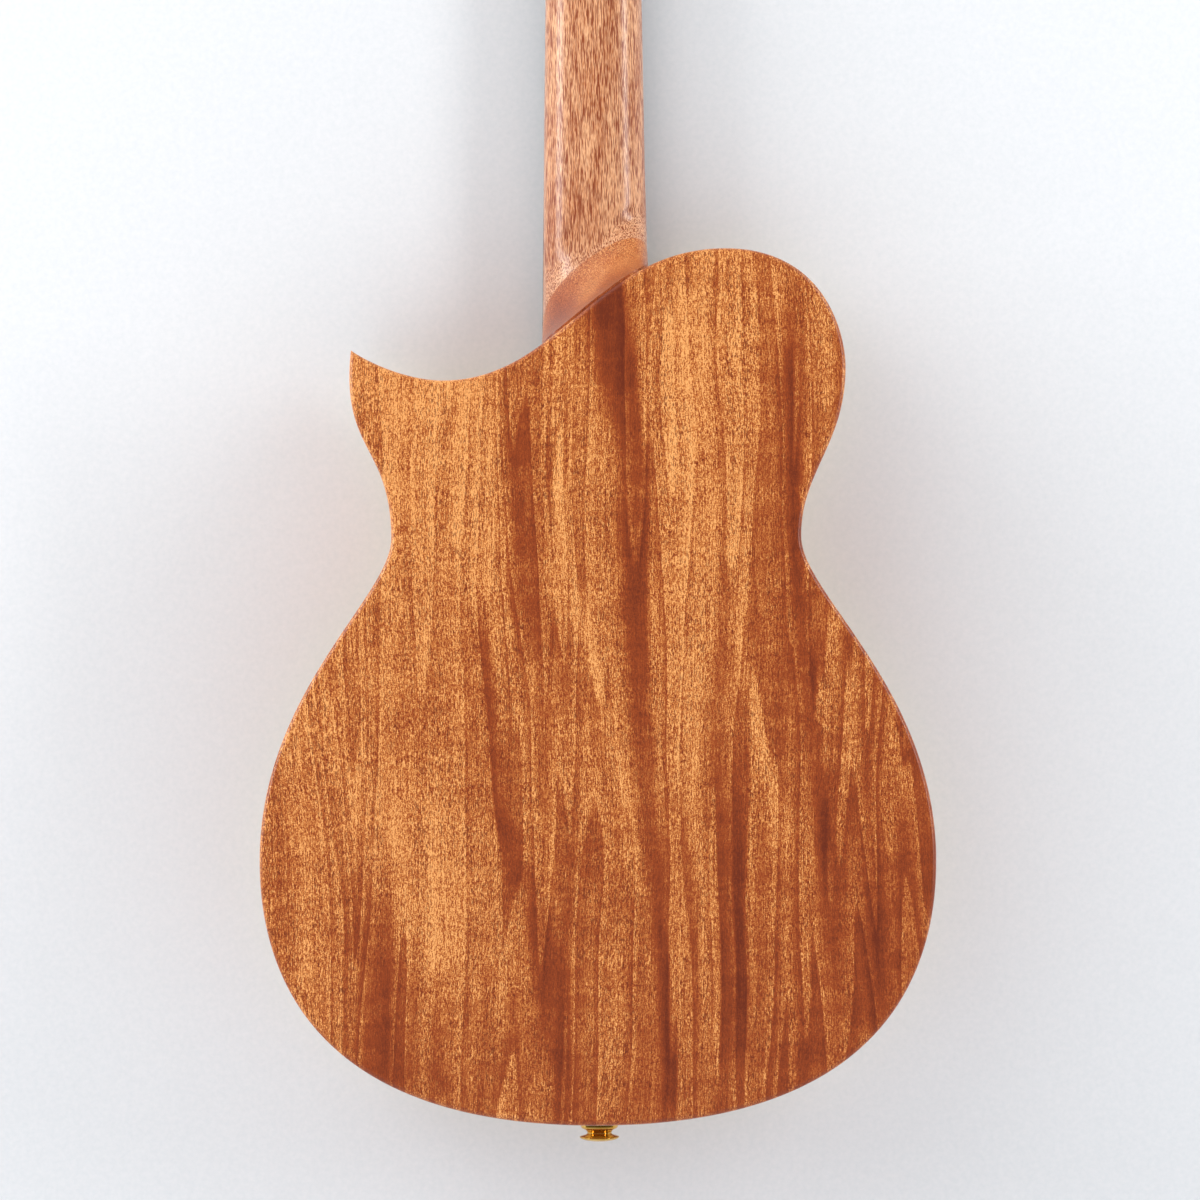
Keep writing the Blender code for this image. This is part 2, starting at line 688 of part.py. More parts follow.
def tenon(name, grow, shift, cutter):
    """The heel's tongue in the neck block; grow widens it into the mortise."""
    x = TENON_WIDTH / 2 + grow
    low = tenon_foot() - grow + shift
    bass_top = body_to_world(RIM.height_at_x(-x)) + TENON_ROOT + shift
    treble_top = body_to_world(RIM.height_at_x(x)) + TENON_ROOT + shift
    outline = [(-x, low), (x, low), (x, treble_top), (-x, bass_top)]
    front = TOP_INSIDE + TENON_END_CLEARANCE - grow
    back = DEPTH_AT_TOP - BACK_THICKNESS - TENON_END_CLEARANCE + grow
    frame = BODY_FRAME if shift else None
    return prism(name, outline, "y", front, back, None, frame, cutter)


def brace_bar(name, height, lean, reach_bass, reach_treble, inside, material):
    """A bar across a plate: full height in the middle and scooped low at both ends."""
    low, high = -reach_bass, reach_treble
    profile = [
        (low, 0), (high, 0), (high, BRACE_END_HEIGHT), (high - BRACE_END_LENGTH, BRACE_HEIGHT),
        (low + BRACE_END_LENGTH, BRACE_HEIGHT), (low, BRACE_END_HEIGHT),
    ]
    sign = -1 if lean else 1
    shape = bmesh.new()
    first = []
    for x, rise in profile:
        bottom = height - BRACE_WIDTH / 2
        first.append(shape.verts.new((x, inside(x, bottom) + sign * rise, bottom)))
    face = shape.faces.new(first)
    pushed = bmesh.ops.extrude_face_region(shape, geom=[face])["geom"]
    for vert in (v for v in pushed if isinstance(v, bmesh.types.BMVert)):
        vert.co.y += inside(0, vert.co.z + BRACE_WIDTH) - inside(0, vert.co.z)
        vert.co.z += BRACE_WIDTH
    return finish(name, shape, material, BODY_FRAME)


def make_braces():
    """Bars across the back and across the top, and three bars that fan out under the bridge."""
    inset = LINING_FAR + SEAT
    half = BRACE_WIDTH / 2

    def reach(height, side):
        return min(RIM.inner_reach(height + k * half, inset, side) for k in (-1, 0, 1)) - SEAT

    back_heights = np.linspace(
        TAIL_BLOCK_TOP + BACK_BRACE_TO_TAIL_BLOCK + half,
        NECK_BLOCK_FOOT - BACK_BRACE_TO_NECK_BLOCK - half, BACK_BRACE_COUNT,
    )
    bars = [(f"back_brace_{k}", float(h), back_inside) for k, h in enumerate(back_heights, 1)]
    bars += [
        ("lower_top_brace", LOWER_BRACE_HEIGHT, top_inside),
        ("upper_top_brace", UPPER_BRACE_HEIGHT, top_inside),
    ]
    for name, height, inside in bars:
        brace_bar(name, height, inside is back_inside, reach(height, -1), reach(height, 1), inside, SPRUCE)
    start = LOWER_BRACE_HEIGHT - half - SEAT
    length = start - TAIL_BLOCK_TOP - FAN_BRACE_TO_TAIL_BLOCK
    for number, place in enumerate((-1, 0, 1), 1):
        turn = Matrix.Rotation(math.radians(FAN_BRACE_SPREAD_DEG * place), 2)
        corners = [(-1, 0), (1, 0), (1, -1), (-1, -1)]
        offset = FAN_BRACE_WIDTH / 2 * math.sin(math.radians(FAN_BRACE_SPREAD_DEG))
        outline = [
            Vector((FAN_BRACE_SPACING * place, start - offset))
            + turn @ Vector((a * FAN_BRACE_WIDTH / 2, b * length))
            for a, b in corners
        ]
        name = f"fan_brace_{number}"
        prism(name, outline, "y", TOP_INSIDE, TOP_INSIDE + FAN_BRACE_HEIGHT, SPRUCE, BODY_FRAME)


# Neck, heel, fretboard and headstock

def d_section(half, depth, power, place):
    """Half of a rounded box, flat at the fretboard; power 2 is round and 8 nearly square."""
    points = []
    for angle in np.linspace(0, math.pi, 15):
        across, down = math.cos(angle), math.sin(angle)
        x = -half * math.copysign(abs(across) ** (2 / power), across)
        points.append(place(x, depth * abs(down) ** (2 / power)))
    return points


def head_place():
    """The matrix from the headstock's own frame to the instrument's."""
    return Matrix.Translation((0, 0, HEAD_START)) @ Matrix.Rotation(-HEAD_ANGLE, 4, "X")


def neck_rings():
    """Sections from the headstock into the body, which lean near the heel to follow the body's edge."""
    slant = (TREBLE_JOINT_HEIGHT - JOINT_HEIGHT) / JOINT_WIDTH
    edge = body_to_world(CENTRE_JOINT_HEIGHT)
    heel_depth = DEPTH_AT_TAIL + DEPTH_SLOPE * CENTRE_JOINT_HEIGHT - HEEL_CAP_STEP
    head = head_place()

    def in_head(reach):
        return lambda x, depth: head @ Vector((x, depth, reach))

    def leaning(z, lean):
        return lambda x, depth: Vector((x, depth, z + slant * lean * x))

    rings = [
        d_section(head_half_width(HEAD_BLEND * share), HEAD_THICKNESS + 0.6 * (1 - share),
                  power, in_head(HEAD_BLEND * share))
        for share, power in ((1.0, 24), (0.72, 11), (0.45, 6), (0.2, 4))
    ]
    rings += [
        d_section(half_width(0), HEAD_THICKNESS + 0.8, 3, leaning(HEAD_START, 0)),
        d_section(half_width(0), NECK_DEPTH_AT_NUT + 0.4, 2.6, leaning(0, 0)),
        d_section(half_width(NUT_BLEND), NECK_DEPTH_AT_NUT, 2.3, leaning(-NUT_BLEND, 0)),
    ]
    straight = -edge - HEEL_RUN_UP
    for share in (0.5, 1.0):
        distance = NUT_BLEND + (straight - NUT_BLEND) * share
        depth = NECK_DEPTH_AT_NUT + (NECK_DEPTH_AT_HEEL - NECK_DEPTH_AT_NUT) * share
        rings.append(d_section(half_width(distance), depth, 2.3, leaning(-distance, 0)))
    lift = heel_depth - NECK_DEPTH_AT_HEEL
    for share in (0, 0.10, 0.30, 0.52, 0.72, 0.88, 1.0):
        drop = 1 - math.sqrt(1 - share ** 2)
        z = edge + HEEL_CAP_LENGTH + HEEL_THROAT_LENGTH * (1 - share)
        depth = NECK_DEPTH_AT_HEEL + lift * drop
        power = 2.3 + 5 * share
        rings.append(d_section(half_width(-z), depth, power, leaning(z, 0.8 + 0.2 * share)))
    inside = edge - TENON_LENGTH * 2
    rings.append(d_section(half_width(-edge), heel_depth, 7.5, leaning(inside, 1)))
    return rings


def head_outline():
    """The headstock's edge from the nut up its treble side, over the top and down the other."""
    up, down = Vector((0, 1)), Vector((0, -1))
    foot = (half_width(0), 0.0)
    flare = (HEAD_FLARE_HALF, HEAD_FLARE_REACH)
    corner = (HEAD_TOP_HALF, HEAD_TOP_REACH)
    crown = (0.0, HEAD_LENGTH)
    treble = bezier_points(foot, up * 16, down * 17, flare, 8)
    treble += bezier_points(flare, up * 30, down * 30, corner, 3)
    treble += bezier_points(corner, Vector((-3, 9)), Vector((16, 0)), crown, 7)
    return treble + [crown] + [(-x, s) for x, s in treble[::-1]]


def head_half_width(reach):
    edge = [(x, s) for x, s in HEAD_OUTLINE if x > 0]
    return float(np.interp(reach, [s for _, s in edge], [x for x, _ in edge]))


HEAD_OUTLINE = head_outline()


def post_places():
    """String number to (x, reach along the headstock): outer strings to the near posts."""
    near, far = POST_REACHES
    return {1: (POST_OFFSET, near), 2: (POST_OFFSET, far), 3: (-POST_OFFSET, far), 4: (-POST_OFFSET, near)}


def make_neck():
    """Shaft and headstock in one piece, and the heel as a block stacked under them."""
    rings = neck_rings()
    blank = [(x, s) for x, s in HEAD_OUTLINE if s > HEAD_BLEND]
    foot = head_half_width(HEAD_BLEND - 1)
    blank = [(foot, HEAD_BLEND - 1)] + blank + [(-foot, HEAD_BLEND - 1)]
    head = prism("headstock_blank", blank, "y", 0.0, HEAD_THICKNESS, None, HEAD_FRAME, True)
    front, behind = -OVERRUN, DEPTH_AT_TAIL + OVERRUN
    body = prism("body_cutter", grown_outline(SEAT), "y", front, behind, None, BODY_FRAME, True)
    tongue = tenon("neck_tenon", 0.0, 0.0, True)
    edge = body_to_world(CENTRE_JOINT_HEIGHT)
    low = edge - TENON_LENGTH * 2 - OVERRUN
    end = edge + HEEL_CAP_LENGTH + HEEL_THROAT_LENGTH + OVERRUN
    wide, far = NECK_BLOCK_HALF * 2, HEAD_START + HEAD_LENGTH
    heel_box = [(-wide, low), (wide, low), (wide, end), (-wide, end)]
    shaft_box = [(-wide, end), (wide, end), (wide, far), (-wide, far)]
    above = prism("above_glue_line", heel_box, "y", HEEL_GLUE_LINE - SEAT, behind, None, None, True)
    below = prism("below_glue_line", heel_box, "y", front, HEEL_GLUE_LINE, None, None, True)
    shaft = prism("shaft_cutter", shaft_box, "y", front, behind, None, None, True)

    neck = loft("neck", rings, NECK_MAHOGANY)
    boolean(neck, body)
    boolean(neck, tongue, "UNION")
    boolean(neck, above)
    boolean(neck, head, "UNION")
    heel = loft("heel", rings, NECK_MAHOGANY)
    boolean(heel, body)
    boolean(heel, tongue, "UNION")
    boolean(heel, below)
    boolean(heel, shaft)
    for number, depth in enumerate(NECK_BOLT_DEPTHS, 1):
        boolean(heel, drill(
            f"heel_bolt_hole_{number}", NECK_BOLT_RADIUS + SEAT,
            tenon_foot() - OVERRUN, tenon_foot() + NECK_BOLT_BITE + SEAT, centre=(0, depth, 0),
        ))
    smooth(neck)
    smooth(heel)
    veneer_outline = [(x, max(s, SEAT)) for x, s in HEAD_OUTLINE]
    veneer = prism(
        "headstock_veneer", veneer_outline, "y", -SEAT - HEAD_VENEER, -SEAT, ROSEWOOD, HEAD_FRAME,
    )
    for number, (x, reach_up) in post_places().items():
        hole = drill(
            f"post_hole_{number}", BUSHING_RADIUS + SEAT, -OVERRUN, HEAD_THICKNESS + OVERRUN, "y",
            centre=(x, 0, reach_up), parent=HEAD_FRAME,
        )
        boolean(neck, hole)
        boolean(veneer, hole)


def tenon_foot():
    return body_to_world(TREBLE_JOINT_HEIGHT) - LINING_NEAR - TENON_LENGTH


def grown_outline(distance):
    """The body's outline moved outwards. The horn's tip keeps its two edges by a mitre."""
    line = RIM.points - RIM.inward * distance
    way_out = (HORN_ARRIVAL_DEG + HORN_LEAVING_DEG + 180) / 2
    tip = Vector(RIM.points[0]) + polar(way_out, distance / math.sin(HORN_HALF_ANGLE))
    return [tuple(tip)] + [tuple(p) for p in line[1:-1]]


def make_fretboard():
    """A tapered board with its frets, which are pressed and crowned metal bars."""
    end = fret_place(FRET_COUNT)
    top = SEAT + FRETBOARD_THICKNESS
    outline = [
        (half_width(0), -SEAT), (half_width(end), -end),
        (-half_width(end), -end), (-half_width(0), -SEAT),
    ]
    board = prism("fretboard", outline, "y", -top, -SEAT, ROSEWOOD)
    frets = bmesh.new()
    for number in range(1, FRET_COUNT):
        middle = fret_place(number)
        reach = half_width(middle) - FRET_END_INSET
        crown = ((-1, -0.6), (-1, 0), (-0.5, 0.85), (0, 1), (0.5, 0.85), (1, 0), (1, -0.6))
        profile = [
            (-middle + a * FRET_CROWN_WIDTH / 2, -top - b * FRET_CROWN_HEIGHT) for a, b in crown
        ]
        face = frets.faces.new([frets.verts.new((-reach, y, z)) for z, y in profile])
        pushed = bmesh.ops.extrude_face_region(frets, geom=[face])["geom"]
        bmesh.ops.translate(
            frets, vec=(2 * reach, 0, 0), verts=[v for v in pushed if isinstance(v, bmesh.types.BMVert)]
        )
    boolean(board, finish("fret_wires", frets, None, None, True), "UNION")


def string_level(distance):
    """How far in front of the soundboard's face the strings run at a distance from the nut."""
    return STRING_AT_NUT + (STRING_AT_SADDLE - STRING_AT_NUT) * distance / SCALE_LENGTH


def string_x(number, spacing):
    """String 1, the highest, is on the treble side."""
    return spacing * (2.5 - number)


def make_nut():
    """A bar with a sloping top and a slot for each string."""
    profile = [
        (-NUT_HEIGHT, 0), (-SEAT, 0), (-SEAT, NUT_THICKNESS), (-NUT_HEIGHT + 2.0, NUT_THICKNESS),
    ]
    nut = prism("nut", profile, "x", -half_width(0), half_width(0), BONE)
    front, behind = -NUT_HEIGHT - OVERRUN, NUT_THICKNESS * 1.6
    fall = behind * math.tan(HEAD_ANGLE)
    for number, radius in enumerate(STRING_RADII, 1):
        floor = -STRING_AT_NUT + radius + SEAT
        x = string_x(number, NUT_SPACING)
        profile = [(front, -2), (floor, -2), (floor, 0.4), (floor + fall, behind), (front, behind)]
        half = radius + SEAT
        boolean(nut, prism(f"nut_slot_{number}", profile, "x", x - half, x + half, cutter=True))


# In the bridge's own frame, whose origin is under the saddle's middle
SADDLE_Z = -(SCALE_LENGTH + SADDLE_COMPENSATION)
TROUGH_TOP = -SADDLE_THICKNESS / 2 - SADDLE_THICKNESS
TROUGH_LOW = TROUGH_TOP - TROUGH_WIDTH


def make_bridge():
    """A tie bridge: low wings, a saddle in its slot, a trough and a drilled tie block."""
    front, back = BRIDGE_FRONT, -BRIDGE_BACK
    low = -SEAT
    profile = [
        (low, front), (-BRIDGE_WING_HEIGHT, front), (-BRIDGE_HEIGHT, front - 3.5),
        (-BRIDGE_HEIGHT, TROUGH_TOP), (-TROUGH_FLOOR, TROUGH_TOP - 0.6),
        (-TROUGH_FLOOR, TROUGH_LOW + 0.3), (-BRIDGE_HEIGHT, TROUGH_LOW),
        (-BRIDGE_HEIGHT, back + 1.0), (-BRIDGE_HEIGHT + 1.0, back), (low, back),
    ]
    frame = new_frame("bridge_frame", (0, 0, SADDLE_Z))
    half = BRIDGE_CENTRE_LENGTH / 2
    bridge = prism("bridge", profile, "x", -half, half, ROSEWOOD, frame)
    reach = BRIDGE_LENGTH / 2
    middle = (front + back) / 2
    span = (front - back) / 2
    widest = math.radians(60)
    # The wings stay just inside the middle block's faces, so that the two join cleanly
    inner = 0.02
    wing = []
    for radians in np.linspace(-widest, widest, 9):
        bulge = (math.cos(radians) - math.cos(widest)) / (1 - math.cos(widest))
        along = middle + span * math.sin(radians) / math.sin(widest)
        wing.append((reach - BRIDGE_TIP * (1 - bulge), min(max(along, back + inner), front - inner)))
    outline = wing + [(-x, z) for x, z in wing[::-1]]
    wings = prism(
        "bridge_wings", outline, "y", -BRIDGE_WING_HEIGHT + inner, low - inner, None, frame, True,
    )
    boolean(bridge, wings, "UNION")
    slot_half = SADDLE_THICKNESS / 2 + SEAT
    slot_end = SADDLE_LENGTH / 2 + SEAT
    slot = [
        (-slot_end, -slot_half), (slot_end, -slot_half), (slot_end, slot_half), (-slot_end, slot_half),
    ]
    cut_from = -BRIDGE_HEIGHT - OVERRUN
    boolean(bridge, prism("saddle_slot", slot, "y", cut_from, -SADDLE_SEAT, None, frame, True))
    for number in range(1, len(STRING_RADII) + 1):
        boolean(bridge, drill(
            f"tie_hole_{number}", TIE_HOLE_RADIUS, back - OVERRUN, TROUGH_LOW + TROUGH_WIDTH / 2, "z", 10,
            centre=(string_x(number, SADDLE_SPACING), -TIE_HOLE_HEIGHT, 0), parent=frame,
        ))
    crest = STRING_AT_SADDLE - max(STRING_RADII) - SEAT
    half = SADDLE_THICKNESS / 2
    saddle_profile = [
        (-SADDLE_SEAT - SEAT, -half), (-SADDLE_SEAT - SEAT, half), (-crest + 0.9, half),
        (-crest, half * 0.4), (-crest, -half * 0.4), (-crest + 0.9, -half),
    ]
    prism("saddle", saddle_profile, "x", -SADDLE_LENGTH / 2, SADDLE_LENGTH / 2, BONE, frame)


# Strings

def catmull(points, steps):
    """A smooth line through points, as a cord bends through its guides."""
    route = [Vector(p) for p in points]
    padded = [route[0] * 2 - route[1], *route, route[-1] * 2 - route[-2]]
    path = []
    for a, b, c, d in zip(padded, padded[1:], padded[2:], padded[3:]):
        for k in range(steps):
            t = k / steps
            path.append(0.5 * (
                2 * b + (c - a) * t + (2 * a - 5 * b + 4 * c - d) * t * t
                + (3 * b - a - 3 * c + d) * t ** 3
            ))
    return path + [route[-1]]


def winding(number, radius, start):
    """Turns round the post from the place where the string touches it, stepping down to the face."""
    x, reach = post_places()[number]
    side = math.copysign(1, x)
    coil = POST_RADIUS + SEAT + radius
    away = Vector((start[0] - x, start[1] - reach))
    turn = math.acos(coil / away.length)
    first = math.atan2(away.y, away.x) - side * turn
    pitch = 2 * radius + WINDING_GAP
    points = []
    for k in range(WINDING_TURNS * WINDING_STEPS + 1):
        angle = first - side * 2 * math.pi * k / WINDING_STEPS
        depth = -(SEAT + HEAD_VENEER) - WINDING_TOP + pitch * k / WINDING_STEPS
        points.append(Vector((x + coil * math.cos(angle), depth, reach + coil * math.sin(angle))))
    return points


def tie(x, radius):
    """From the saddle's crest through the tie block and back over it, ending beside itself."""
    back = -BRIDGE_BACK
    over = BRIDGE_HEIGHT + SEAT + radius + 0.4
    behind = back - SEAT - radius - 0.8
    side = x + 2.3
    return [
        (x, -STRING_AT_SADDLE + 0.1, -1.2), (x, -TIE_HOLE_HEIGHT - 0.2, TROUGH_LOW + 1.6),
        (x, -TIE_HOLE_HEIGHT, TROUGH_LOW - 2), (x, -TIE_HOLE_HEIGHT, back + 1),
        (x + 0.4, -TIE_HOLE_HEIGHT - 1.0, behind), (x + 1.4, -over + 0.8, behind + 0.2),
        (side, -over, back + 3), (side, -over, TROUGH_LOW - 2.5), (side, -over + 0.7, TROUGH_LOW + 0.9),
    ]


def make_strings():
    """Each string from its winding over the nut and the saddle to its tie."""
    head = head_place()
    least = math.inf
    for number, radius in enumerate(STRING_RADII, 1):
        nut_x = string_x(number, NUT_SPACING)
        saddle_x = string_x(number, SADDLE_SPACING)
        coil = winding(number, radius, (nut_x, 0.0))
        tail = [(px, py, pz + SADDLE_Z) for px, py, pz in tie(saddle_x, radius)]
        path = [head @ p for p in coil[::-1]]
        path += [(nut_x, -STRING_AT_NUT, 0.6), (nut_x, -STRING_AT_NUT, -0.4)]
        path += [(saddle_x, -STRING_AT_SADDLE, SADDLE_Z + 1.2)] + catmull(tail, 2)
        tube(f"string_{number}", path, radius, WOUND if number > 2 else NYLON)
        least = min(least, least_gap(coil, 2 * radius))
    print(f"least gap between a winding's turns: {least:.2f} mm")


def least_gap(points, width):
    """The free space between stretches of one tube that are more than half a turn apart."""
    line = np.array([tuple(p) for p in points])
    apart = WINDING_STEPS // 2
    gaps = [
        np.hypot.reduce(line[k + apart:] - line[k], axis=1).min()
        for k in range(len(line) - apart)
    ]
    return min(gaps) - width


# Tuning machines

TOOTH_PITCH = 2 * math.pi * GEAR_PITCH_RADIUS / GEAR_TEETH
AXIS_DISTANCE = GEAR_PITCH_RADIUS + WORM_PITCH_RADIUS
PLATE_BACK = HEAD_THICKNESS + SEAT + PLATE_THICKNESS
WORM_AXIS_DEPTH = PLATE_BACK + WORM_AXIS_HEIGHT
WORM_HALF = WORM_TURNS * TOOTH_PITCH / 2
EAR_PLACE = WORM_HALF + TOOTH_THICKNESS + EAR_CLEARANCE
TWIST_PER_MM = TOOTH_PITCH / (2 * math.pi * WORM_PITCH_RADIUS) / GEAR_PITCH_RADIUS


def tooth_half(from_pitch):
    """Half a tooth's thickness, a distance outwards from its pitch line."""
    return TOOTH_THICKNESS / 2 - from_pitch * TOOTH_SLOPE


def make_gear():
    """The worm wheel, with a gap turned to the worm and teeth twisted to its thread."""
    ring_points = []
    for k in range(GEAR_TEETH):
        middle = -math.pi / 2 + 2 * math.pi * (k + 0.5) / GEAR_TEETH
        for side, level in (
            (-1, -TOOTH_DEDENDUM), (-1, TOOTH_ADDENDUM), (1, TOOTH_ADDENDUM), (1, -TOOTH_DEDENDUM),
        ):
            radius = GEAR_PITCH_RADIUS + level
            ring_points.append((radius, middle + side * tooth_half(level) / radius))
    rings = []
    for level in (-GEAR_THICKNESS / 2, GEAR_THICKNESS / 2):
        turn = TWIST_PER_MM * level
        rings.append([
            Vector((r * math.cos(a + turn), r * math.sin(a + turn), level - WORM_AXIS_DEPTH))
            for r, a in ring_points
        ])
    return loft("gear_blank", rings, None, None, True)


def make_worm():
    """A shaft with one right-handed thread; its crest crosses local +X at the middle."""
    root = WORM_PITCH_RADIUS - TOOTH_DEDENDUM
    crest = WORM_PITCH_RADIUS + TOOTH_ADDENDUM
    foot_half, crest_half = tooth_half(-TOOTH_DEDENDUM), tooth_half(TOOTH_ADDENDUM)
    sunk = root - 0.3
    corners = ((sunk, -foot_half), (crest, -crest_half), (crest, crest_half), (sunk, foot_half))
    # An odd count puts the thread's corners between those of the shaft
    steps = 2 * int(WORM_TURNS * WORM_STEPS_PER_TURN / 2) + 1
    rings = []
    for k in range(steps + 1):
        turns = (k - steps / 2) / WORM_STEPS_PER_TURN
        angle = 2 * math.pi * turns
        rings.append([
            (r * math.cos(angle), r * math.sin(angle), h + turns * TOOTH_PITCH) for r, h in corners
        ])
    return loft("worm_thread", rings, None, None, True)


def rounded_rectangle(half_x, half_y, corner):
    points = []
    for cx, cy, start in ((1, 1, 0), (-1, 1, 90), (-1, -1, 180), (1, -1, 270)):
        for angle in (0, 30, 60, 90):
            radians = math.radians(start + angle)
            points.append((
                cx * (half_x - corner) + corner * math.cos(radians),
                cy * (half_y - corner) + corner * math.sin(radians),
            ))
    return points


def make_plate_master():
    """The base plate with two ears that carry the worm's shaft."""
    corners = rounded_rectangle(PLATE_WIDTH / 2, PLATE_LENGTH / 2, PLATE_CORNER)
    outline = [(x, z + PLATE_SHIFT) for x, z in corners]
    plate = prism("plate_master", outline, "y", HEAD_THICKNESS + SEAT, PLATE_BACK, GOLD, None, True)
    for name, side in (("inner", -1), ("outer", 1)):
        foot = PLATE_BACK - PLATE_THICKNESS / 2
        outline = [(foot, -AXIS_DISTANCE - EAR_RADIUS), (foot, -AXIS_DISTANCE + EAR_RADIUS)]
        for angle in np.linspace(0, 180, 7):
            radians = math.radians(angle)
            outline.append((
                WORM_AXIS_DEPTH + EAR_RADIUS * math.sin(radians),
                -AXIS_DISTANCE + EAR_RADIUS * math.cos(radians),
            ))
        low, high = sorted((side * EAR_PLACE, side * (EAR_PLACE + EAR_THICKNESS)))
        boolean(plate, prism(f"{name}_ear", outline, "x", low, high, None, None, True), "UNION")
    boolean(plate, drill(
        "shaft_hole", SHAFT_RADIUS + SEAT, -OVERRUN, OVERRUN, "x", 12,
        centre=(0, WORM_AXIS_DEPTH, -AXIS_DISTANCE),
    ))
    behind = PLATE_BACK + OVERRUN
    boolean(plate, drill("post_hole_in_plate", POST_RADIUS + SEAT, 0, behind, "y", 12))
    for side in (-1, 1):
        boolean(plate, drill(
            f"plate_screw_hole_{side + 2}", PLATE_SCREW_HOLE, 0, behind, "y", 8,
            centre=(0, 0, PLATE_SHIFT + side * PLATE_SCREW_SPACING / 2),
        ))
    return baked(plate)


def baked(obj):
    """The evaluated mesh of a master object, so that each copy can share it."""
    bpy.context.view_layer.update()
    graph = bpy.context.evaluated_depsgraph_get()
    mesh = bpy.data.meshes.new_from_object(obj.evaluated_get(graph))
    mesh.shade_smooth()
    mesh.set_sharp_from_angle(angle=SHARP_ANGLE)
    return mesh


def make_post_master():
    """A turned post, waisted for the string, with the worm wheel on its end."""
    top = POST_HEIGHT + SEAT + HEAD_VENEER
    gear_back = WORM_AXIS_DEPTH + GEAR_THICKNESS / 2
    waist_start, waist_end = top - POST_WAIST_START, top - POST_WAIST_END
    profile = [
        (0, top), (POST_RADIUS - 0.7, top), (POST_RADIUS, top - 0.7),
        (POST_RADIUS, waist_start + POST_WAIST_SLOPE), (POST_WAIST_RADIUS, waist_start),
        (POST_WAIST_RADIUS, waist_end), (POST_RADIUS, waist_end - POST_WAIST_SLOPE),
        (POST_RADIUS, -gear_back + 0.2), (POST_RADIUS - 0.4, -gear_back - 0.2),
        (POST_RADIUS - 0.4, -gear_back - 0.9), (POST_RADIUS - 1.2, -gear_back - 1.3),
        (0, -gear_back - 1.3),
    ]
    post = turned("post_master", profile, GOLD, None, 12, cutter=True)
    boolean(post, make_gear(), "UNION")
    boolean(post, drill(
        "string_hole", STRING_HOLE_RADIUS, -OVERRUN, OVERRUN, "x", 8, centre=(0, 0, top - STRING_HOLE_DROP),
    ))
    return baked(post)


def make_worm_master():
    """The worm's shaft from its inner ear out to its end in the button."""
    root = WORM_PITCH_RADIUS - TOOTH_DEDENDUM
    inner_end = -EAR_PLACE - EAR_THICKNESS - 0.8
    outer_end = BUTTON_START + BUTTON_SOCKET - SEAT
    shoulder = EAR_PLACE - SEAT
    profile = [
        (0, outer_end), (SHAFT_RADIUS, outer_end), (SHAFT_RADIUS, shoulder), (root, shoulder),
        (root, -shoulder), (SHAFT_RADIUS, -shoulder), (SHAFT_RADIUS, inner_end), (0, inner_end),
    ]
    shaft = turned("shaft_master", profile, GOLD, None, 12, cutter=True)
    boolean(shaft, make_worm(), "UNION")
    return baked(shaft)


def make_button_master():
    """An oval knob on the shaft's end."""
    start, end = BUTTON_START, BUTTON_START + BUTTON_LENGTH
    wide = BUTTON_RADIUS
    profile = [
        (0, end), (wide * 0.55, end - 0.4), (wide * 0.86, end - 2.2), (wide, end - 5.5),
        (wide * 0.88, start + 4.0), (wide * 0.6, start + 1.8), (wide * 0.38, start), (0, start),
    ]
    button = turned("button_master", profile, EBONY, None, 14, cutter=True)
    button.scale = (1, BUTTON_FLATNESS, 1)
    socket = drill("button_socket", SHAFT_RADIUS + SEAT, start - 3, start + BUTTON_SOCKET, "z", 12)
    mesh = baked(button)
    mesh.transform(Matrix.Diagonal((1, BUTTON_FLATNESS, 1, 1)))
    bpy.data.objects.remove(button)
    drilled = add_object("drilled_button_master", mesh, EBONY, None, True)
    boolean(drilled, socket)
    return baked(drilled)


BUTTON_START = HEAD_TOP_HALF + BUTTON_GAP_TO_HEAD - POST_OFFSET


def make_tuners():
    """Four machines from shared meshes. The frames stand on the joints' axes."""
    meshes = {
        "plate": make_plate_master(), "post": make_post_master(),
        "worm": make_worm_master(), "button": make_button_master(),
    }
    inner, collar = POST_RADIUS + SEAT, BUSHING_COLLAR_RADIUS
    face = SEAT + HEAD_VENEER + SEAT
    rim, foot = face + BUSHING_COLLAR_HEIGHT, face - BUSHING_LENGTH
    bushing_profile = [
        (inner, rim), (collar - 0.5, rim), (collar, face + 0.5), (collar, face),
        (BUSHING_RADIUS, face), (BUSHING_RADIUS, foot), (inner, foot),
    ]
    for number, (x, reach) in post_places().items():
        side_turn = math.pi if x > 0 else 0.0
        machine = new_frame(f"tuner_{number}_frame", (x, 0, reach), (0, 0, 0), HEAD_FRAME)
        post_axis = new_frame(f"tuner_{number}_post_axis", (0, 0, 0), (math.pi / 2, 0, 0), machine)
        worm_place = (0, WORM_AXIS_DEPTH, -AXIS_DISTANCE)
        knob_axis = new_frame(
            f"tuner_{number}_knob_axis", worm_place, (0, -math.pi / 2, side_turn), machine,
        )
        add_object(f"tuner_{number}_plate", meshes["plate"], None, machine)
        add_object(f"tuner_{number}_post", meshes["post"], None, post_axis)
        add_object(f"tuner_{number}_worm", meshes["worm"], None, knob_axis)
        add_object(f"tuner_{number}_button", meshes["button"], None, knob_axis)
        turned(f"tuner_{number}_bushing", bushing_profile, GOLD, post_axis, 12, closed=True)


# Strap button and neck bolts

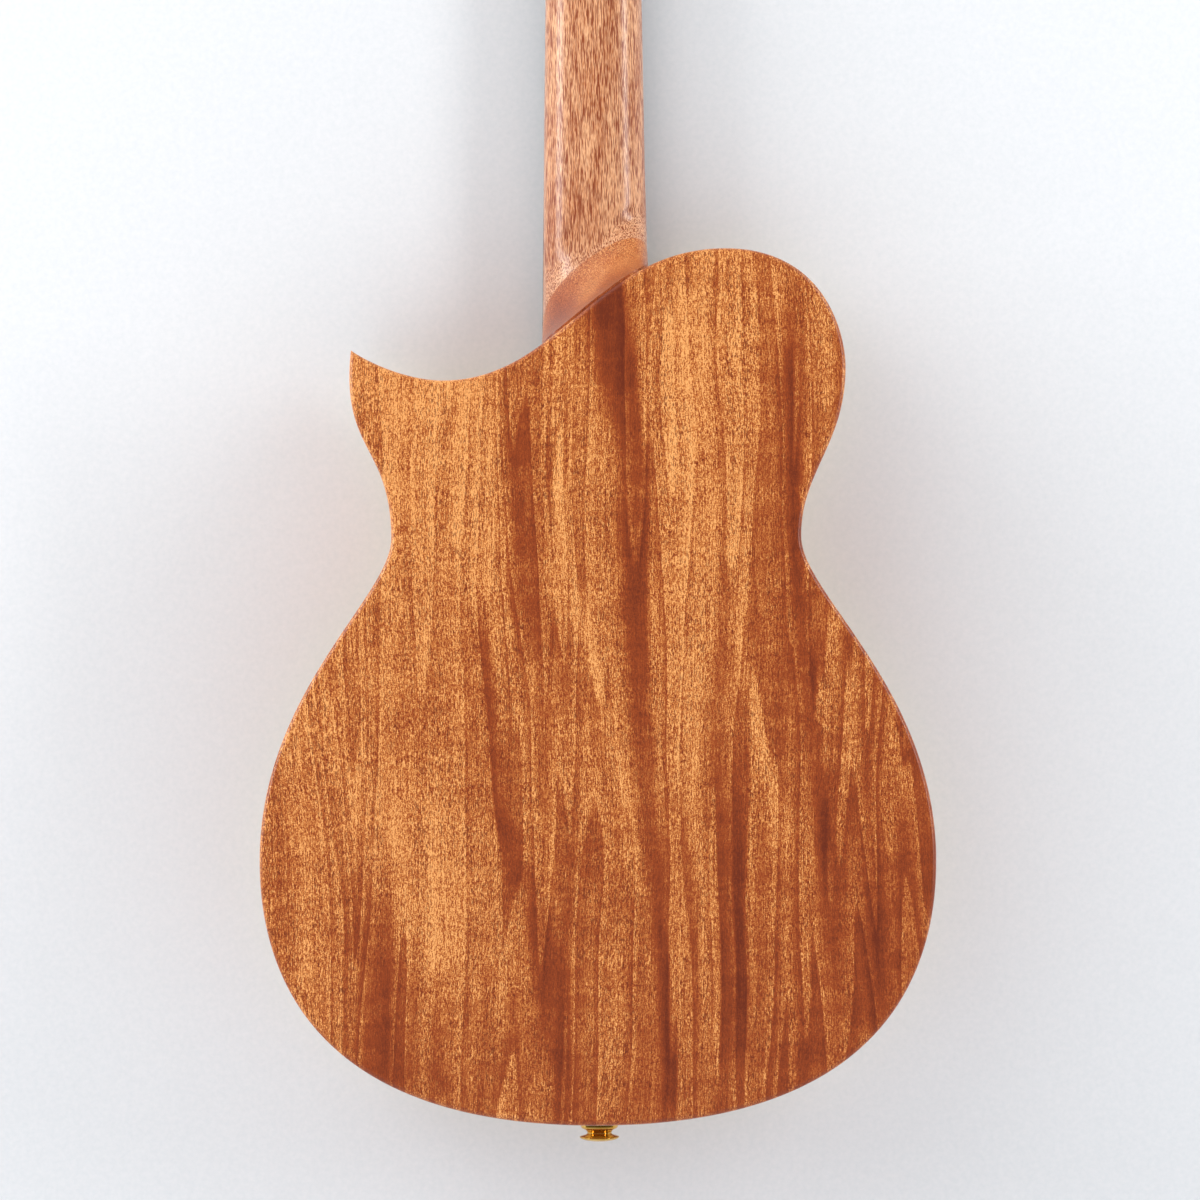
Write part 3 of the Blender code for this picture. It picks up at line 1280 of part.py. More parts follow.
def make_strap_button():
    """A gold button with a countersunk screw, on the middle of the tail."""
    frame = new_frame("strap_button_frame", (0, STRAP_DEPTH, -SEAT), (math.pi, 0, 0), BODY_FRAME)
    outer = list(STRAP_BUTTON_PROFILE)[::-1]
    button_end = outer[0][1]
    clear = STRAP_SCREW_CLEARANCE
    head, shank = STRAP_SCREW_HEAD_RADIUS, STRAP_SCREW_RADIUS
    sink_top = button_end - 0.2
    profile = [(shank + clear, sink_top - (head - shank)), (head + clear, sink_top)] + outer
    profile += [(shank + clear, 0.0)]
    turned("strap_button", profile, GOLD, frame, 18, closed=True)
    head_top = sink_top - clear * 0.3
    tip = button_end - STRAP_SCREW_LENGTH
    screw_profile = [
        (0, head_top), (head - 0.6, head_top), (head - 0.2, head_top - 0.4),
        (shank, head_top + shank - head - 0.2), (shank, tip + 3), (0, tip),
    ]
    turned("strap_button_screw", screw_profile, GOLD, frame, 12)


def make_neck_bolts():
    """Two bolts with flat washers that draw the heel's tenon into its block."""
    low = body_to_world(NECK_BLOCK_FOOT) - SEAT
    tip = tenon_foot() + NECK_BOLT_BITE - low
    washer, washer_foot = NECK_BOLT_WASHER_RADIUS, -NECK_BOLT_WASHER_HEIGHT
    head_foot = washer_foot - NECK_BOLT_HEAD_HEIGHT
    profile = [
        (0, tip), (NECK_BOLT_RADIUS, tip), (NECK_BOLT_RADIUS, 0), (washer, 0), (washer, washer_foot),
        (NECK_BOLT_HEAD_RADIUS, washer_foot), (NECK_BOLT_HEAD_RADIUS, head_foot), (0, head_foot),
    ]
    for number, depth in enumerate(NECK_BOLT_DEPTHS, 1):
        bolt = turned(f"neck_bolt_{number}", profile, STEEL, None, 12)
        bolt.location = Vector((0, depth, low)) * MM


make_back()
make_soundboard()
make_sides()
make_linings()
make_blocks()
make_braces()
make_neck()
make_fretboard()
make_nut()
make_bridge()
make_strings()
make_tuners()
make_strap_button()
make_neck_bolts()
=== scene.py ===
# %% [markdown]
# # A baritone ukulele, seen from behind
#
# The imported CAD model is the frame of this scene: it is exact in size, but its curves are made
# of few flat faces. Here each piece that shows is made again as a fine smooth surface, in the
# same place and to the same sizes, and gets a material that is worked out by nodes. Sizes are
# in millimetres until a mesh is built, because a maker thinks in millimetres and Blender in metres.

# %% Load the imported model
import math

import bmesh
import bpy
import numpy as np
from mathutils import Matrix, Vector
from mathutils.geometry import delaunay_2d_cdt, tessellate_polygon


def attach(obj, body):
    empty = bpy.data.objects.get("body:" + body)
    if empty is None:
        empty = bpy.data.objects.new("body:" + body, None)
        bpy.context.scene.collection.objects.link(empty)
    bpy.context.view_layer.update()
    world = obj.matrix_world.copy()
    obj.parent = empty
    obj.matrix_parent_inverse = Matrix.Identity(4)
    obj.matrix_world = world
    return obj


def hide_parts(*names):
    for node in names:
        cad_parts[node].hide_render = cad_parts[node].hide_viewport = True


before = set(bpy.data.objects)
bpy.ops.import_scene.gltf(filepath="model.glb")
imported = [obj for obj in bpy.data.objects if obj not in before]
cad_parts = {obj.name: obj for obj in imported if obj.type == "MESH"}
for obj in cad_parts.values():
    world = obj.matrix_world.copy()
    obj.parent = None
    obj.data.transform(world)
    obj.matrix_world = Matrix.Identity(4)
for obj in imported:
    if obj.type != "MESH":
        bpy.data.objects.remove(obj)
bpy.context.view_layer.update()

# %% [markdown]
# ## From arrays to a mesh
#
# Most pieces are grids: a table of points, row after row, whose neighbours are joined by
# four-sided faces. One helper numbers those faces with array arithmetic, another fills a flat
# outline that may have holes, and a third turns any number of such shells into one object.
# Welding the doubles closes the seams, and recalculating the normals turns every face outwards.

# %% Helpers that make shells from arrays
MM = 0.001


def grid(points, wrap=False, caps=(False, False), uv=None):
    """A shell over points[row, column]: face (r, c) joins (r, c), (r, c+1), (r+1, c+1), (r+1, c)."""
    rows, columns = points.shape[:2]
    row = np.arange(rows - 1)[:, None] * columns
    column = np.arange(columns if wrap else columns - 1)[None, :]
    after = (column + 1) % columns
    faces = np.stack([row + column, row + after, row + columns + after, row + columns + column], axis=-1)
    faces = faces.reshape(-1, 4).tolist()
    ends = ((caps[0], 0), (caps[1], (rows - 1) * columns))
    faces += [list(range(start, start + columns)) for wanted, start in ends if wanted]
    return points.reshape(-1, 3), faces, None if uv is None else uv.reshape(-1, 2)


def flat_fill(outline, *holes):
    """Triangles between one closed line of points and the holes inside it."""
    rings = [outline, *holes]
    triangles = tessellate_polygon([[Vector(p) for p in ring] for ring in rings])
    return np.vstack(rings), [list(t) for t in triangles], None


def merged(shells):
    """Several shells as one list of points, faces and UVs: each shell's numbers start after the last."""
    starts = np.cumsum([0] + [len(s[0]) for s in shells])
    faces = [[k + int(start) for k in face] for s, start in zip(shells, starts) for face in s[1]]
    uvs = [s[2] if s[2] is not None else np.zeros((len(s[0]), 2)) for s in shells]
    return np.vstack([s[0] for s in shells]), faces, np.vstack(uvs)


def crisp(mesh, sharp):
    """Smooth shading, with the edges over an angle in degrees kept crisp."""
    mesh.shade_smooth()
    mesh.set_sharp_from_angle(angle=math.radians(sharp))
    return mesh


def mesh_of(name, shells, sharp=35.0, place=None):
    """One welded mesh in metres, with faces outwards and edges over the sharp angle kept crisp."""
    points, faces, uvs = merged(shells)
    mesh = bpy.data.meshes.new(name)
    mesh.from_pydata((points * MM).tolist(), [], faces)
    if any(s[2] is not None for s in shells):
        corner = np.empty(len(mesh.loops), dtype=np.int32)
        mesh.loops.foreach_get("vertex_index", corner)
        mesh.uv_layers.new(name="UVMap").data.foreach_set("uv", uvs[corner].ravel())
    work = bmesh.new()
    work.from_mesh(mesh)
    bmesh.ops.remove_doubles(work, verts=work.verts, dist=2e-6)
    bmesh.ops.recalc_face_normals(work, faces=work.faces)
    if place is not None:
        work.transform(place)
    work.to_mesh(mesh)
    work.free()
    return crisp(mesh, sharp)


def place_object(name, data):
    """A new object in the scene."""
    made = bpy.data.objects.new(name, data)
    bpy.context.scene.collection.objects.link(made)
    return made


def piece(name, mesh, material, nodes=(), body="instrument"):
    """An object for a mesh: its material, the nodes it stands for and its body."""
    made = place_object(name, mesh)
    mesh.materials.clear()
    mesh.materials.append(material)
    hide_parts(*nodes)
    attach(made, body)
    return made


print("helpers ready")

# %% [markdown]
# ## Helpers for materials
#
# A hex colour is how a colour is seen on a screen, and Cycles counts light, so one function
# turns one into the other. A second function adds a node and connects it in a line, which keeps
# a long material readable. Numbers that don't vary are set straight on the socket.

# %% Colours and nodes
def linear(colour):
    """sRGB hex to linear: c / 12.92 up to 0.04045, else ((c + 0.055) / 1.055) to the power 2.4."""
    c = np.array([int(colour[k:k + 2], 16) / 255 for k in (0, 2, 4)])
    return (*np.where(c <= 0.04045, c / 12.92, ((c + 0.055) / 1.055) ** 2.4).tolist(), 1.0)


def add(tree, kind, inputs=None, **settings):
    """A new node; inputs are constants or the sockets that feed it, by name or number."""
    made = tree.nodes.new(kind)
    for name, value in settings.items():
        setattr(made, name, value)
    for name, value in (inputs or {}).items():
        if isinstance(value, bpy.types.NodeSocket):
            tree.links.new(value, made.inputs[name])
        else:
            made.inputs[name].default_value = value
    return made


def calc(tree, operation, *values, clamp=False):
    """One Math node and its result."""
    made = add(tree, "ShaderNodeMath", dict(enumerate(values)), operation=operation, use_clamp=clamp)
    return made.outputs[0]


def feed(tree, shader, **sockets):
    """Links each output to the shader's input of that name."""
    for name, output in sockets.items():
        tree.links.new(output, shader.inputs[name.replace("_", " ")])


def new_material(name, **values):
    """A material, its tree and its Principled shader, with constants set on the sockets."""
    material = bpy.data.materials.new(name)
    material.use_nodes = True
    tree = material.node_tree
    shader = tree.nodes["Principled BSDF"]
    for socket, value in values.items():
        shader.inputs[socket.replace("_", " ")].default_value = value
    return material, tree, shader


def millimetres(tree, source="Object", scale=(1, 1, 1), turn=(0, 0, 0), shift=(0, 0, 0)):
    """Coordinates in millimetres, divided by the size of the pattern along each axis."""
    origin = add(tree, "ShaderNodeTexCoord").outputs[source]
    grow = 1000.0 if source == "Object" else 1.0
    return add(
        tree, "ShaderNodeMapping",
        {"Vector": origin, "Scale": [grow / s for s in scale], "Rotation": turn, "Location": shift},
    ).outputs[0]


def noise(tree, vector, detail=2.0, rough=0.5, distortion=0.0):
    """A noise value; the size of its waves is set by the coordinates that feed it."""
    return add(tree, "ShaderNodeTexNoise", {
        "Vector": vector, "Scale": 1.0, "Detail": detail, "Roughness": rough, "Distortion": distortion,
    }).outputs["Fac"]


def spread(tree, value, low, high, out_low=0.0, out_high=1.0, smooth=True):
    """The value carried from one range to another, held at both ends."""
    return add(tree, "ShaderNodeMapRange", {
        "Value": value, "From Min": low, "From Max": high, "To Min": out_low, "To Max": out_high,
    }, interpolation_type="SMOOTHSTEP" if smooth else "LINEAR").outputs[0]


def blend_colour(tree, share, first, second, how="MIX"):
    """Two colours mixed by a share; colours are hex words or sockets."""
    made = add(tree, "ShaderNodeMix", data_type="RGBA", blend_type=how)
    for number, value in ((0, share), (6, first), (7, second)):
        if isinstance(value, bpy.types.NodeSocket):
            tree.links.new(value, made.inputs[number])
        else:
            made.inputs[number].default_value = linear(value) if isinstance(value, str) else value
    return made.outputs[2]


def bump(tree, shader, height, depth_mm, strength=1.0):
    """The shader's normal follows a height from 0 to 1, which stands for a depth in millimetres."""
    made = add(tree, "ShaderNodeBump", {"Height": height, "Distance": depth_mm * MM, "Strength": strength})
    tree.links.new(made.outputs[0], shader.inputs["Normal"])


print("white is", linear("ffffff"))

# %% [markdown]
# ## The back's mahogany
#
# The back is one board of mahogany whose fibres lean one way and then the other, which makes
# broad ribbons of gold and red-brown along the grain. The pattern is built from four scales:
# ribbons 8 to 30 mm wide that wander slightly, narrow stripes inside them, a fine fleck of
# about half a millimetre, and pores as short dark dashes. All of them are noise that is
# stretched many times along the grain, because wood is built of long thin cells.

# %% Mahogany
HAIRS, FLECKS, LINES = 1.1, 1.1, 0.6


def mahogany(name, source="Object", colours=("6a2406", "9a4212", "c87837", "f2aa64"), pore="6e2a0b",
             coat=0.9, gloss=0.28, ribbons=None, lively=(0.35, 1.25), stripes=0.34,
             grain_turn=(0, 0, 0)):
    """Ribbon-figured mahogany whose grain runs along the third coordinate."""
    material, tree, shader = new_material(
        name, IOR=1.5, Specular_IOR_Level=0.12, Coat_Weight=coat, Coat_Roughness=gloss, Coat_IOR=1.5,
    )
    drift = noise(tree, millimetres(tree, source, (90, 90, 210), grain_turn), 2.0, 0.4)
    aside = add(tree, "ShaderNodeCombineXYZ", {0: calc(tree, "MULTIPLY_ADD", drift, 26.0, -13.0)}).outputs[0]
    place = add(tree, "ShaderNodeVectorMath", {0: millimetres(tree, source, (1, 1, 1), grain_turn), 1: aside},
                operation="ADD").outputs[0]

    def stretched(size, shift=0.0):
        return add(tree, "ShaderNodeMapping", {
            "Vector": place, "Scale": [1 / s for s in size], "Location": (shift, shift, shift),
        }).outputs[0]

    if ribbons:
        tone = add(tree, "ShaderNodeAttribute", attribute_name=ribbons).outputs["Fac"]
    else:
        broad = noise(tree, stretched((17, 60, 420)), 1.5, 0.45)
        tone = calc(tree, "MULTIPLY_ADD", spread(tree, broad, 0.36, 0.64), 0.5, 0.2)
    # A stripe rises slowly in tone and drops at once: the fraction of a stretched noise
    waves = noise(tree, stretched((18, 60, 380), 7.0), 1.5, 0.5)
    waves = calc(tree, "FRACT", calc(tree, "MULTIPLY", waves, 9.0))
    stripe = calc(tree, "MULTIPLY", waves, spread(tree, waves, 0.86, 1.0, 1.0, 0.0))
    mottle = noise(tree, stretched((16, 16, 8), 3.0), 2.0, 0.55)
    tone = calc(tree, "MULTIPLY_ADD", calc(tree, "SUBTRACT", stripe, 0.4), stripes, tone)
    tone = calc(tree, "MULTIPLY_ADD", spread(tree, mottle, 0.35, 0.65, -0.5, 0.5), 0.1, tone)
    # Hairs, flecks and long lines; the light ribbons show them most
    grain = -0.5 * (HAIRS + FLECKS + LINES)
    for share, size, shift in ((HAIRS, (0.34, 0.4, 1.8), 5.0), (FLECKS, (0.45, 0.45, 0.55), 17.0),
                               (LINES, (0.36, 1.5, 22), 9.0)):
        grain = calc(tree, "MULTIPLY_ADD", noise(tree, stretched(size, shift), 0.5, 0.5), share, grain)
    tone = calc(tree, "MULTIPLY_ADD", grain, spread(tree, tone, 0.2, 0.65, *lively), tone, clamp=True)
    colour = blend_colour(tree, spread(tree, tone, 0.0, 0.35, smooth=False), colours[0], colours[1])
    colour = blend_colour(tree, spread(tree, tone, 0.35, 0.7, smooth=False), colour, colours[2])
    colour = blend_colour(tree, spread(tree, tone, 0.7, 1.0, smooth=False), colour, colours[3])
    dashes = noise(tree, stretched((0.42, 0.42, 1.9), 11.0), 1.0, 0.4)
    crowd = noise(tree, stretched((7, 7, 50), 13.0), 1.0, 0.4)
    pores = calc(tree, "MULTIPLY", spread(tree, dashes, 0.56, 0.64),
                 spread(tree, crowd, 0.36, 0.6, 0.25, 1.0))
    colour = blend_colour(tree, calc(tree, "MULTIPLY", pores, 0.7), colour, pore)
    feed(tree, shader, Base_Color=colour, Roughness=spread(tree, tone, 0.0, 1.0, 0.6, 0.5))
    return material


MAHOGANY = mahogany("mahogany_under_gloss_lacquer", ribbons="ribbon")
SIDE_MAHOGANY = mahogany("bent_mahogany_sides", "UV", grain_turn=(math.pi / 2, 0, 0))
HEEL_MAHOGANY = mahogany("heel_mahogany_satin", colours=("7c330d", "a65022", "c1713b", "da9559"), gloss=0.34,
                         lively=(0.9, 1.1), stripes=0.0)
BLOCK_MAHOGANY = mahogany("bare_mahogany", colours=("7d4a2c", "8c5836", "a36c45", "bb8458"), coat=0.0)
print("mahogany nodes:", len(MAHOGANY.node_tree.nodes))

# %% [markdown]
# ## The neck's mahogany
#
# The neck has only a thin satin finish, so its pores stay open: long dark grooves that lean a
# few degrees from the neck's line, on a pinker and paler ground. Where the throat curves away
# the same pattern, which fills the whole space, is cut across and shows as end-grain dots.

# %% Satin neck
def open_grain(name):
    """Pale satin mahogany with open pores, 0.35 mm wide and up to 15 mm long."""
    material, tree, shader = new_material(name, IOR=1.5, Specular_IOR_Level=0.2,
                                           Coat_Weight=1.0, Coat_Roughness=0.24, Coat_IOR=1.5)
    lean = (0.0, math.radians(-4.0), 0.0)
    streak = noise(tree, millimetres(tree, scale=(0.33, 0.4, 6.0), turn=lean), 1.0, 0.5)
    fine = noise(tree, millimetres(tree, scale=(0.36, 0.4, 2.2), turn=lean, shift=(4, 4, 4)), 1.0, 0.5)
    cloud = noise(tree, millimetres(tree, scale=(9, 14, 45), turn=lean), 2.0, 0.5)
    crowd = spread(tree, cloud, 0.35, 0.65, -0.03, 0.03)
    groove = spread(tree, calc(tree, "ADD", streak, crowd), 0.46, 0.6)
    tone = calc(tree, "MULTIPLY_ADD", spread(tree, fine, 0.32, 0.68, smooth=False), 0.6,
                spread(tree, cloud, 0.3, 0.7, 0.4, 0.0))
    colour = blend_colour(tree, tone, "bd7040", "f6c092")
    colour = blend_colour(tree, calc(tree, "MULTIPLY", groove, 0.95), colour, "8a3c1a")
    feed(tree, shader, Base_Color=colour, Roughness=spread(tree, groove, 0.0, 1.0, 0.4, 0.65))
    bump(tree, shader, calc(tree, "SUBTRACT", 1.0, groove), 0.05, 0.6)
    return material


NECK_WOOD = open_grain("neck_mahogany_satin")
print(NECK_WOOD.name)

# %% [markdown]
# ## Spruce, rosewood and bone
#
# Spruce is pale with a narrow darker line for each winter, about every 1.3 mm. Rosewood is
# nearly black-brown with uneven streaks and open pores. Both are the same idea as before:
# waves across the grain and noise stretched along it. Bone is off-white with faint streaks.

# %% Other natural materials
def spruce(name, light, dark, coat):
    """Straight-grained spruce: growth lines from a sine of the distance across, made uneven by noise."""
    material, tree, shader = new_material(name, Roughness=0.5, Coat_Weight=coat, Coat_Roughness=0.15)
    sway = noise(tree, millimetres(tree, scale=(40, 40, 300)), 2.0, 0.5)
    across = add(tree, "ShaderNodeSeparateXYZ", {0: millimetres(tree)}).outputs[0]
    across = calc(tree, "MULTIPLY_ADD", sway, 14.0, across)
    ring = spread(tree, calc(tree, "SINE", calc(tree, "MULTIPLY", across, 4.8)), -0.2, 1.0)
    fine = noise(tree, millimetres(tree, scale=(0.35, 0.35, 14)), 2.0, 0.6)
    silk = noise(tree, millimetres(tree, scale=(3.5, 3.5, 1.2)), 1.0, 0.5)
    tone = calc(tree, "MULTIPLY_ADD", ring, 0.55, spread(tree, fine, 0.3, 0.7, 0.0, 0.35))
    tone = calc(tree, "MULTIPLY_ADD", spread(tree, silk, 0.5, 0.8), -0.12, tone, clamp=True)
    feed(tree, shader, Base_Color=blend_colour(tree, tone, light, dark))
    bump(tree, shader, fine, 0.01, 0.3)
    return material


def rosewood(name, turn=(0, 0, 0)):
    """Oiled rosewood with black streaks along the third coordinate and open pores."""
    material, tree, shader = new_material(name, IOR=1.5, Specular_IOR_Level=0.5)
    sway = noise(tree, millimetres(tree, scale=(22, 22, 90), turn=turn), 2.0, 0.5)
    streak = noise(tree, millimetres(tree, scale=(2.2, 3.0, 70), turn=turn), 3.0, 0.6, 0.4)
    pores = noise(tree, millimetres(tree, scale=(0.4, 0.4, 5), turn=turn), 1.0, 0.4)
    groove = spread(tree, pores, 0.60, 0.70)
    colour = blend_colour(tree, spread(tree, streak, 0.36, 0.62), "24130d", "54311f")
    colour = blend_colour(tree, spread(tree, sway, 0.4, 0.7, 0.0, 0.4), colour, "6d4126")
    colour = blend_colour(tree, calc(tree, "MULTIPLY", groove, 0.8), colour, "140a07")
    feed(tree, shader, Base_Color=colour, Roughness=spread(tree, groove, 0.0, 1.0, 0.36, 0.6))
    bump(tree, shader, calc(tree, "SUBTRACT", 1.0, groove), 0.05, 0.5)
    return material


def bone(name):
    """Polished bone, off-white with faint long streaks."""
    material, tree, shader = new_material(name, Roughness=0.28, IOR=1.54, Subsurface_Weight=0.1)
    shader.inputs["Subsurface Radius"].default_value = (0.6 * MM, 0.5 * MM, 0.4 * MM)
    streak = noise(tree, millimetres(tree, scale=(6, 0.8, 0.8)), 2.0, 0.6)
    feed(tree, shader, Base_Color=blend_colour(tree, streak, "d9cfb6", "f1ebdb"))
    return material


TOP_SPRUCE = spruce("spruce_under_gloss_lacquer", "e8c48c", "cf9d5e", 0.8)
BARE_SPRUCE = spruce("bare_spruce", "e9d3a8", "cfae7a", 0.0)
ROSEWOOD = rosewood("oiled_rosewood")
BRIDGE_ROSEWOOD = rosewood("oiled_rosewood_across", (0, math.pi / 2, 0))
BONE = bone("polished_bone")

# %% [markdown]
# ## Metals, plastic and strings
#
# Gold plate, nickel and steel are metals: their colour is the colour of their reflections, so
# the shader is fully metallic, and fine scratches or turning marks vary its roughness. The
# knobs are polished black plastic. Plain strings are clear nylon. A wound string has a thin
# wire laid round it, which shows as fine rings along its length, read from the UV map.

# %% Hard materials
def metal(name, colour, worn, rough, scratch=(0.3, 0.3, 6.0)):
    """A metal with faint scratches and slightly cloudy polish."""
    material, tree, shader = new_material(name, Metallic=1.0)
    marks = noise(tree, millimetres(tree, scale=scratch), 2.0, 0.6)
    cloud = noise(tree, millimetres(tree, scale=(3, 3, 3)), 2.0, 0.5)
    feed(tree, shader, Base_Color=blend_colour(tree, spread(tree, cloud, 0.4, 0.7), colour, worn),
         Roughness=spread(tree, marks, 0.35, 0.7, *rough))
    bump(tree, shader, marks, 0.004, 0.25)
    return material


def black_plastic(name):
    material, tree, shader = new_material(name, IOR=1.49, Coat_Weight=0.5, Coat_Roughness=0.08)
    dust = noise(tree, millimetres(tree, scale=(0.8, 0.8, 0.8)), 3.0, 0.6)
    feed(tree, shader, Base_Color=blend_colour(tree, dust, "0e0d0d", "1c1a19"),
         Roughness=spread(tree, dust, 0.3, 0.7, 0.16, 0.26))
    return material


def nylon(name):
    material, tree, shader = new_material(name, Roughness=0.22, IOR=1.53, Transmission_Weight=0.45)
    haze = noise(tree, millimetres(tree, scale=(2, 2, 12)), 1.0, 0.5)
    feed(tree, shader, Base_Color=blend_colour(tree, haze, "dcd8cc", "f2efe6"))
    return material


def wound_string(name):
    """Rings 0.22 mm apart along the string: the height is the size of a sine of the length, and the colour is
    painted shade, darker in the grooves between turns.
    """
    material, tree, shader = new_material(name, Metallic=1.0, Roughness=0.3)
    length = add(tree, "ShaderNodeSeparateXYZ", {0: add(tree, "ShaderNodeTexCoord").outputs["UV"]}).outputs[0]
    ring = calc(tree, "ABSOLUTE", calc(tree, "SINE", calc(tree, "MULTIPLY", length, math.pi / 0.22)))
    # Painted shade: the colour goes dark in the grooves between the turns and pale on their crests
    feed(tree, shader, Base_Color=blend_colour(tree, ring, "6f6a64", "cfcac2"))
    bump(tree, shader, ring, 0.05, 0.8)
    return material


GOLD = metal("polished_gold_plate", "e9bb62", "d9a548", (0.07, 0.16))
SATIN_GOLD = metal("brushed_gold_plate", "e6b862", "cf9d45", (0.42, 0.55), (0.25, 3.0, 3.0))
NICKEL = metal("nickel_silver_fret_wire", "cfcbc2", "b9b4aa", (0.15, 0.3), (6.0, 0.3, 0.3))
STEEL = metal("bright_zinc_steel", "c2c4c6", "a5a7aa", (0.25, 0.4))
BLACK = black_plastic("polished_black_knob")
NYLON = nylon("clear_nylon_string")
WOUND = wound_string("silver_wound_string")
print("hard materials ready")

# %% [markdown]
# ## The body's outline
#
# The body's edge is nine bends, each a cubic Bezier curve, that start and end at the horn's
# tip. The numbers are the ones that the CAD source was drawn with. The curve is sampled very
# finely once, with its length and the way inwards at each point, and every piece that follows
# the edge reads its own points from that by length.

# %% Outline of the body
# Height of the tail, the back's slope, and the thickness of back, soundboard and sides
TAIL_Z = -633.122
BACK_SLOPE = 0.0336134
DEPTH_AT_TAIL = 84.0
BACK_THICK, TOP_THICK, SIDE_THICK = 2.6, 2.4, 2.2
SCALE = 511.0
HORN_TIP, HORN_IN, HORN_OUT = (99.8, 316.0), math.radians(37.0), math.radians(-83.7)


def bezier(a, b, c, d, count):
    """(1-t)^3 A + 3(1-t)^2 t B + 3(1-t) t^2 C + t^3 D for t from 0 up to 1, without the last point."""
    t = np.linspace(0, 1, count, endpoint=False)[:, None]
    a, b, c, d = (np.array(p, float) for p in (a, b, c, d))
    return (1 - t) ** 3 * a + 3 * (1 - t) ** 2 * t * b + 3 * (1 - t) * t * t * c + t ** 3 * d


def ways(angle, reach):
    return np.array([math.cos(angle), math.sin(angle)]) * reach


BENDS = (
    (HORN_TIP, HORN_TIP - ways(HORN_IN, 6.0), (78.2, 303.5), (62.0, 303.5)),
    ((62.0, 303.5), (14.8, 303.5), (-0.5, 357.0), (-53.0, 357.0)),
    ((-53.0, 357.0), (-94.5, 357.0), (-102.2, 321.3), (-102.2, 308.5)),
    ((-102.2, 308.5), (-102.2, 276.7), (-83.6, 265.6), (-83.6, 239.0)),
    ((-83.6, 239.0), (-83.6, 215.4), (-137.7, 176.8), (-137.7, 107.5)),
    ((-137.7, 107.5), (-137.7, 62.9), (-117.0, 0.0), (0.0, 0.0)),
    ((0.0, 0.0), (117.0, 0.0), (137.7, 62.9), (137.7, 107.5)),
    ((137.7, 107.5), (137.7, 176.8), (83.6, 215.4), (83.6, 239.0)),
    ((83.6, 239.0), (83.6, 277.7), HORN_TIP + ways(HORN_OUT, 42.0), HORN_TIP),
)
EDGE = np.vstack([bezier(*bend, 400) for bend in BENDS] + [[HORN_TIP]])
EDGE_AT = np.concatenate([[0.0], np.cumsum(np.hypot(*np.diff(EDGE, axis=0).T))])
way = np.gradient(EDGE, EDGE_AT, axis=0)
way /= np.hypot(*way.T)[:, None]
INWARD = np.stack([-way[:, 1], way[:, 0]], axis=1)
EDGE_TOTAL = float(EDGE_AT[-1])
SHOULDER_AT, TAIL_AT = float(EDGE_AT[800]), float(EDGE_AT[2400])
HORN_HALF = (math.pi - HORN_IN + HORN_OUT) / 2
print(f"the edge is {EDGE_TOTAL:.0f} mm round")

# %% Lines that follow the outline
def edge_line(lengths, inset=0.0):
    """The outline's points at these lengths, moved inwards: P(s) + inset * inward(s)."""
    place = np.stack([np.interp(lengths, EDGE_AT, EDGE[:, k]) for k in (0, 1)], axis=-1)
    inward = np.stack([np.interp(lengths, EDGE_AT, INWARD[:, k]) for k in (0, 1)], axis=-1)
    return place + inward / np.hypot(inward[..., 0], inward[..., 1])[..., None] * np.asarray(inset)[..., None]


def edge_ring(inset, count=480):
    """A closed ring at one inset; at the horn its two ends meet on the line that halves the tip."""
    skip = inset / math.tan(HORN_HALF)
    ring = edge_line(np.linspace(skip, EDGE_TOTAL - skip, count + 1), inset)[:-1]
    middle = (HORN_IN + HORN_OUT + math.pi) / 2
    ring[0] = np.array(HORN_TIP) - ways(middle, inset / math.sin(HORN_HALF))
    return ring


# The part of the edge between cutaway and shoulder, from its bass end on
SHOULDER_LINE = slice(800, 399, -1)


def edge_at_x(x):
    """Height of the edge between shoulder and cutaway at a distance from the centre line."""
    return np.interp(x, EDGE[SHOULDER_LINE, 0], EDGE[SHOULDER_LINE, 1])


def at_x(x):
    """Length along the outline of that same point."""
    return float(np.interp(x, EDGE[SHOULDER_LINE, 0], EDGE_AT[SHOULDER_LINE]))


def back_face(height):
    """The back's outer face leans: 84 mm deep at the tail and 72 mm at the top."""
    return DEPTH_AT_TAIL - BACK_SLOPE * height


def standing(ring, y):
    """Outline points (x, height) as points in space at a depth y."""
    return np.stack([ring[..., 0], np.broadcast_to(y, ring.shape[:-1]), TAIL_Z + ring[..., 1]], axis=-1)


print(f"edge at the neck's middle: {float(edge_at_x(0.0)):.2f} mm above the tail")

# %% [markdown]
# ## Back, soundboard and sides
#
# The back is a plate whose outer edge is rounded over to 2 mm all round. A profile of a few
# points goes from the glue line up the edge and over the rounding on to the face, and one ring
# of the outline is made for each of its points. A last ring just inside the rounding keeps the
# shading of the flat face flat. The soundboard is made the same way, with its round hole.

# %% Plates
def rounded_edge(radius, thickness, steps=7):
    """(inset, depth under the face) from the glue line up and over a quarter round to the face."""
    angle = np.linspace(0, math.pi / 2, steps)
    over = np.column_stack([radius * (1 - np.cos(angle)), radius * (1 - np.sin(angle))])
    return np.vstack([[0.0, thickness], over, [radius + 0.5, 0.0]])


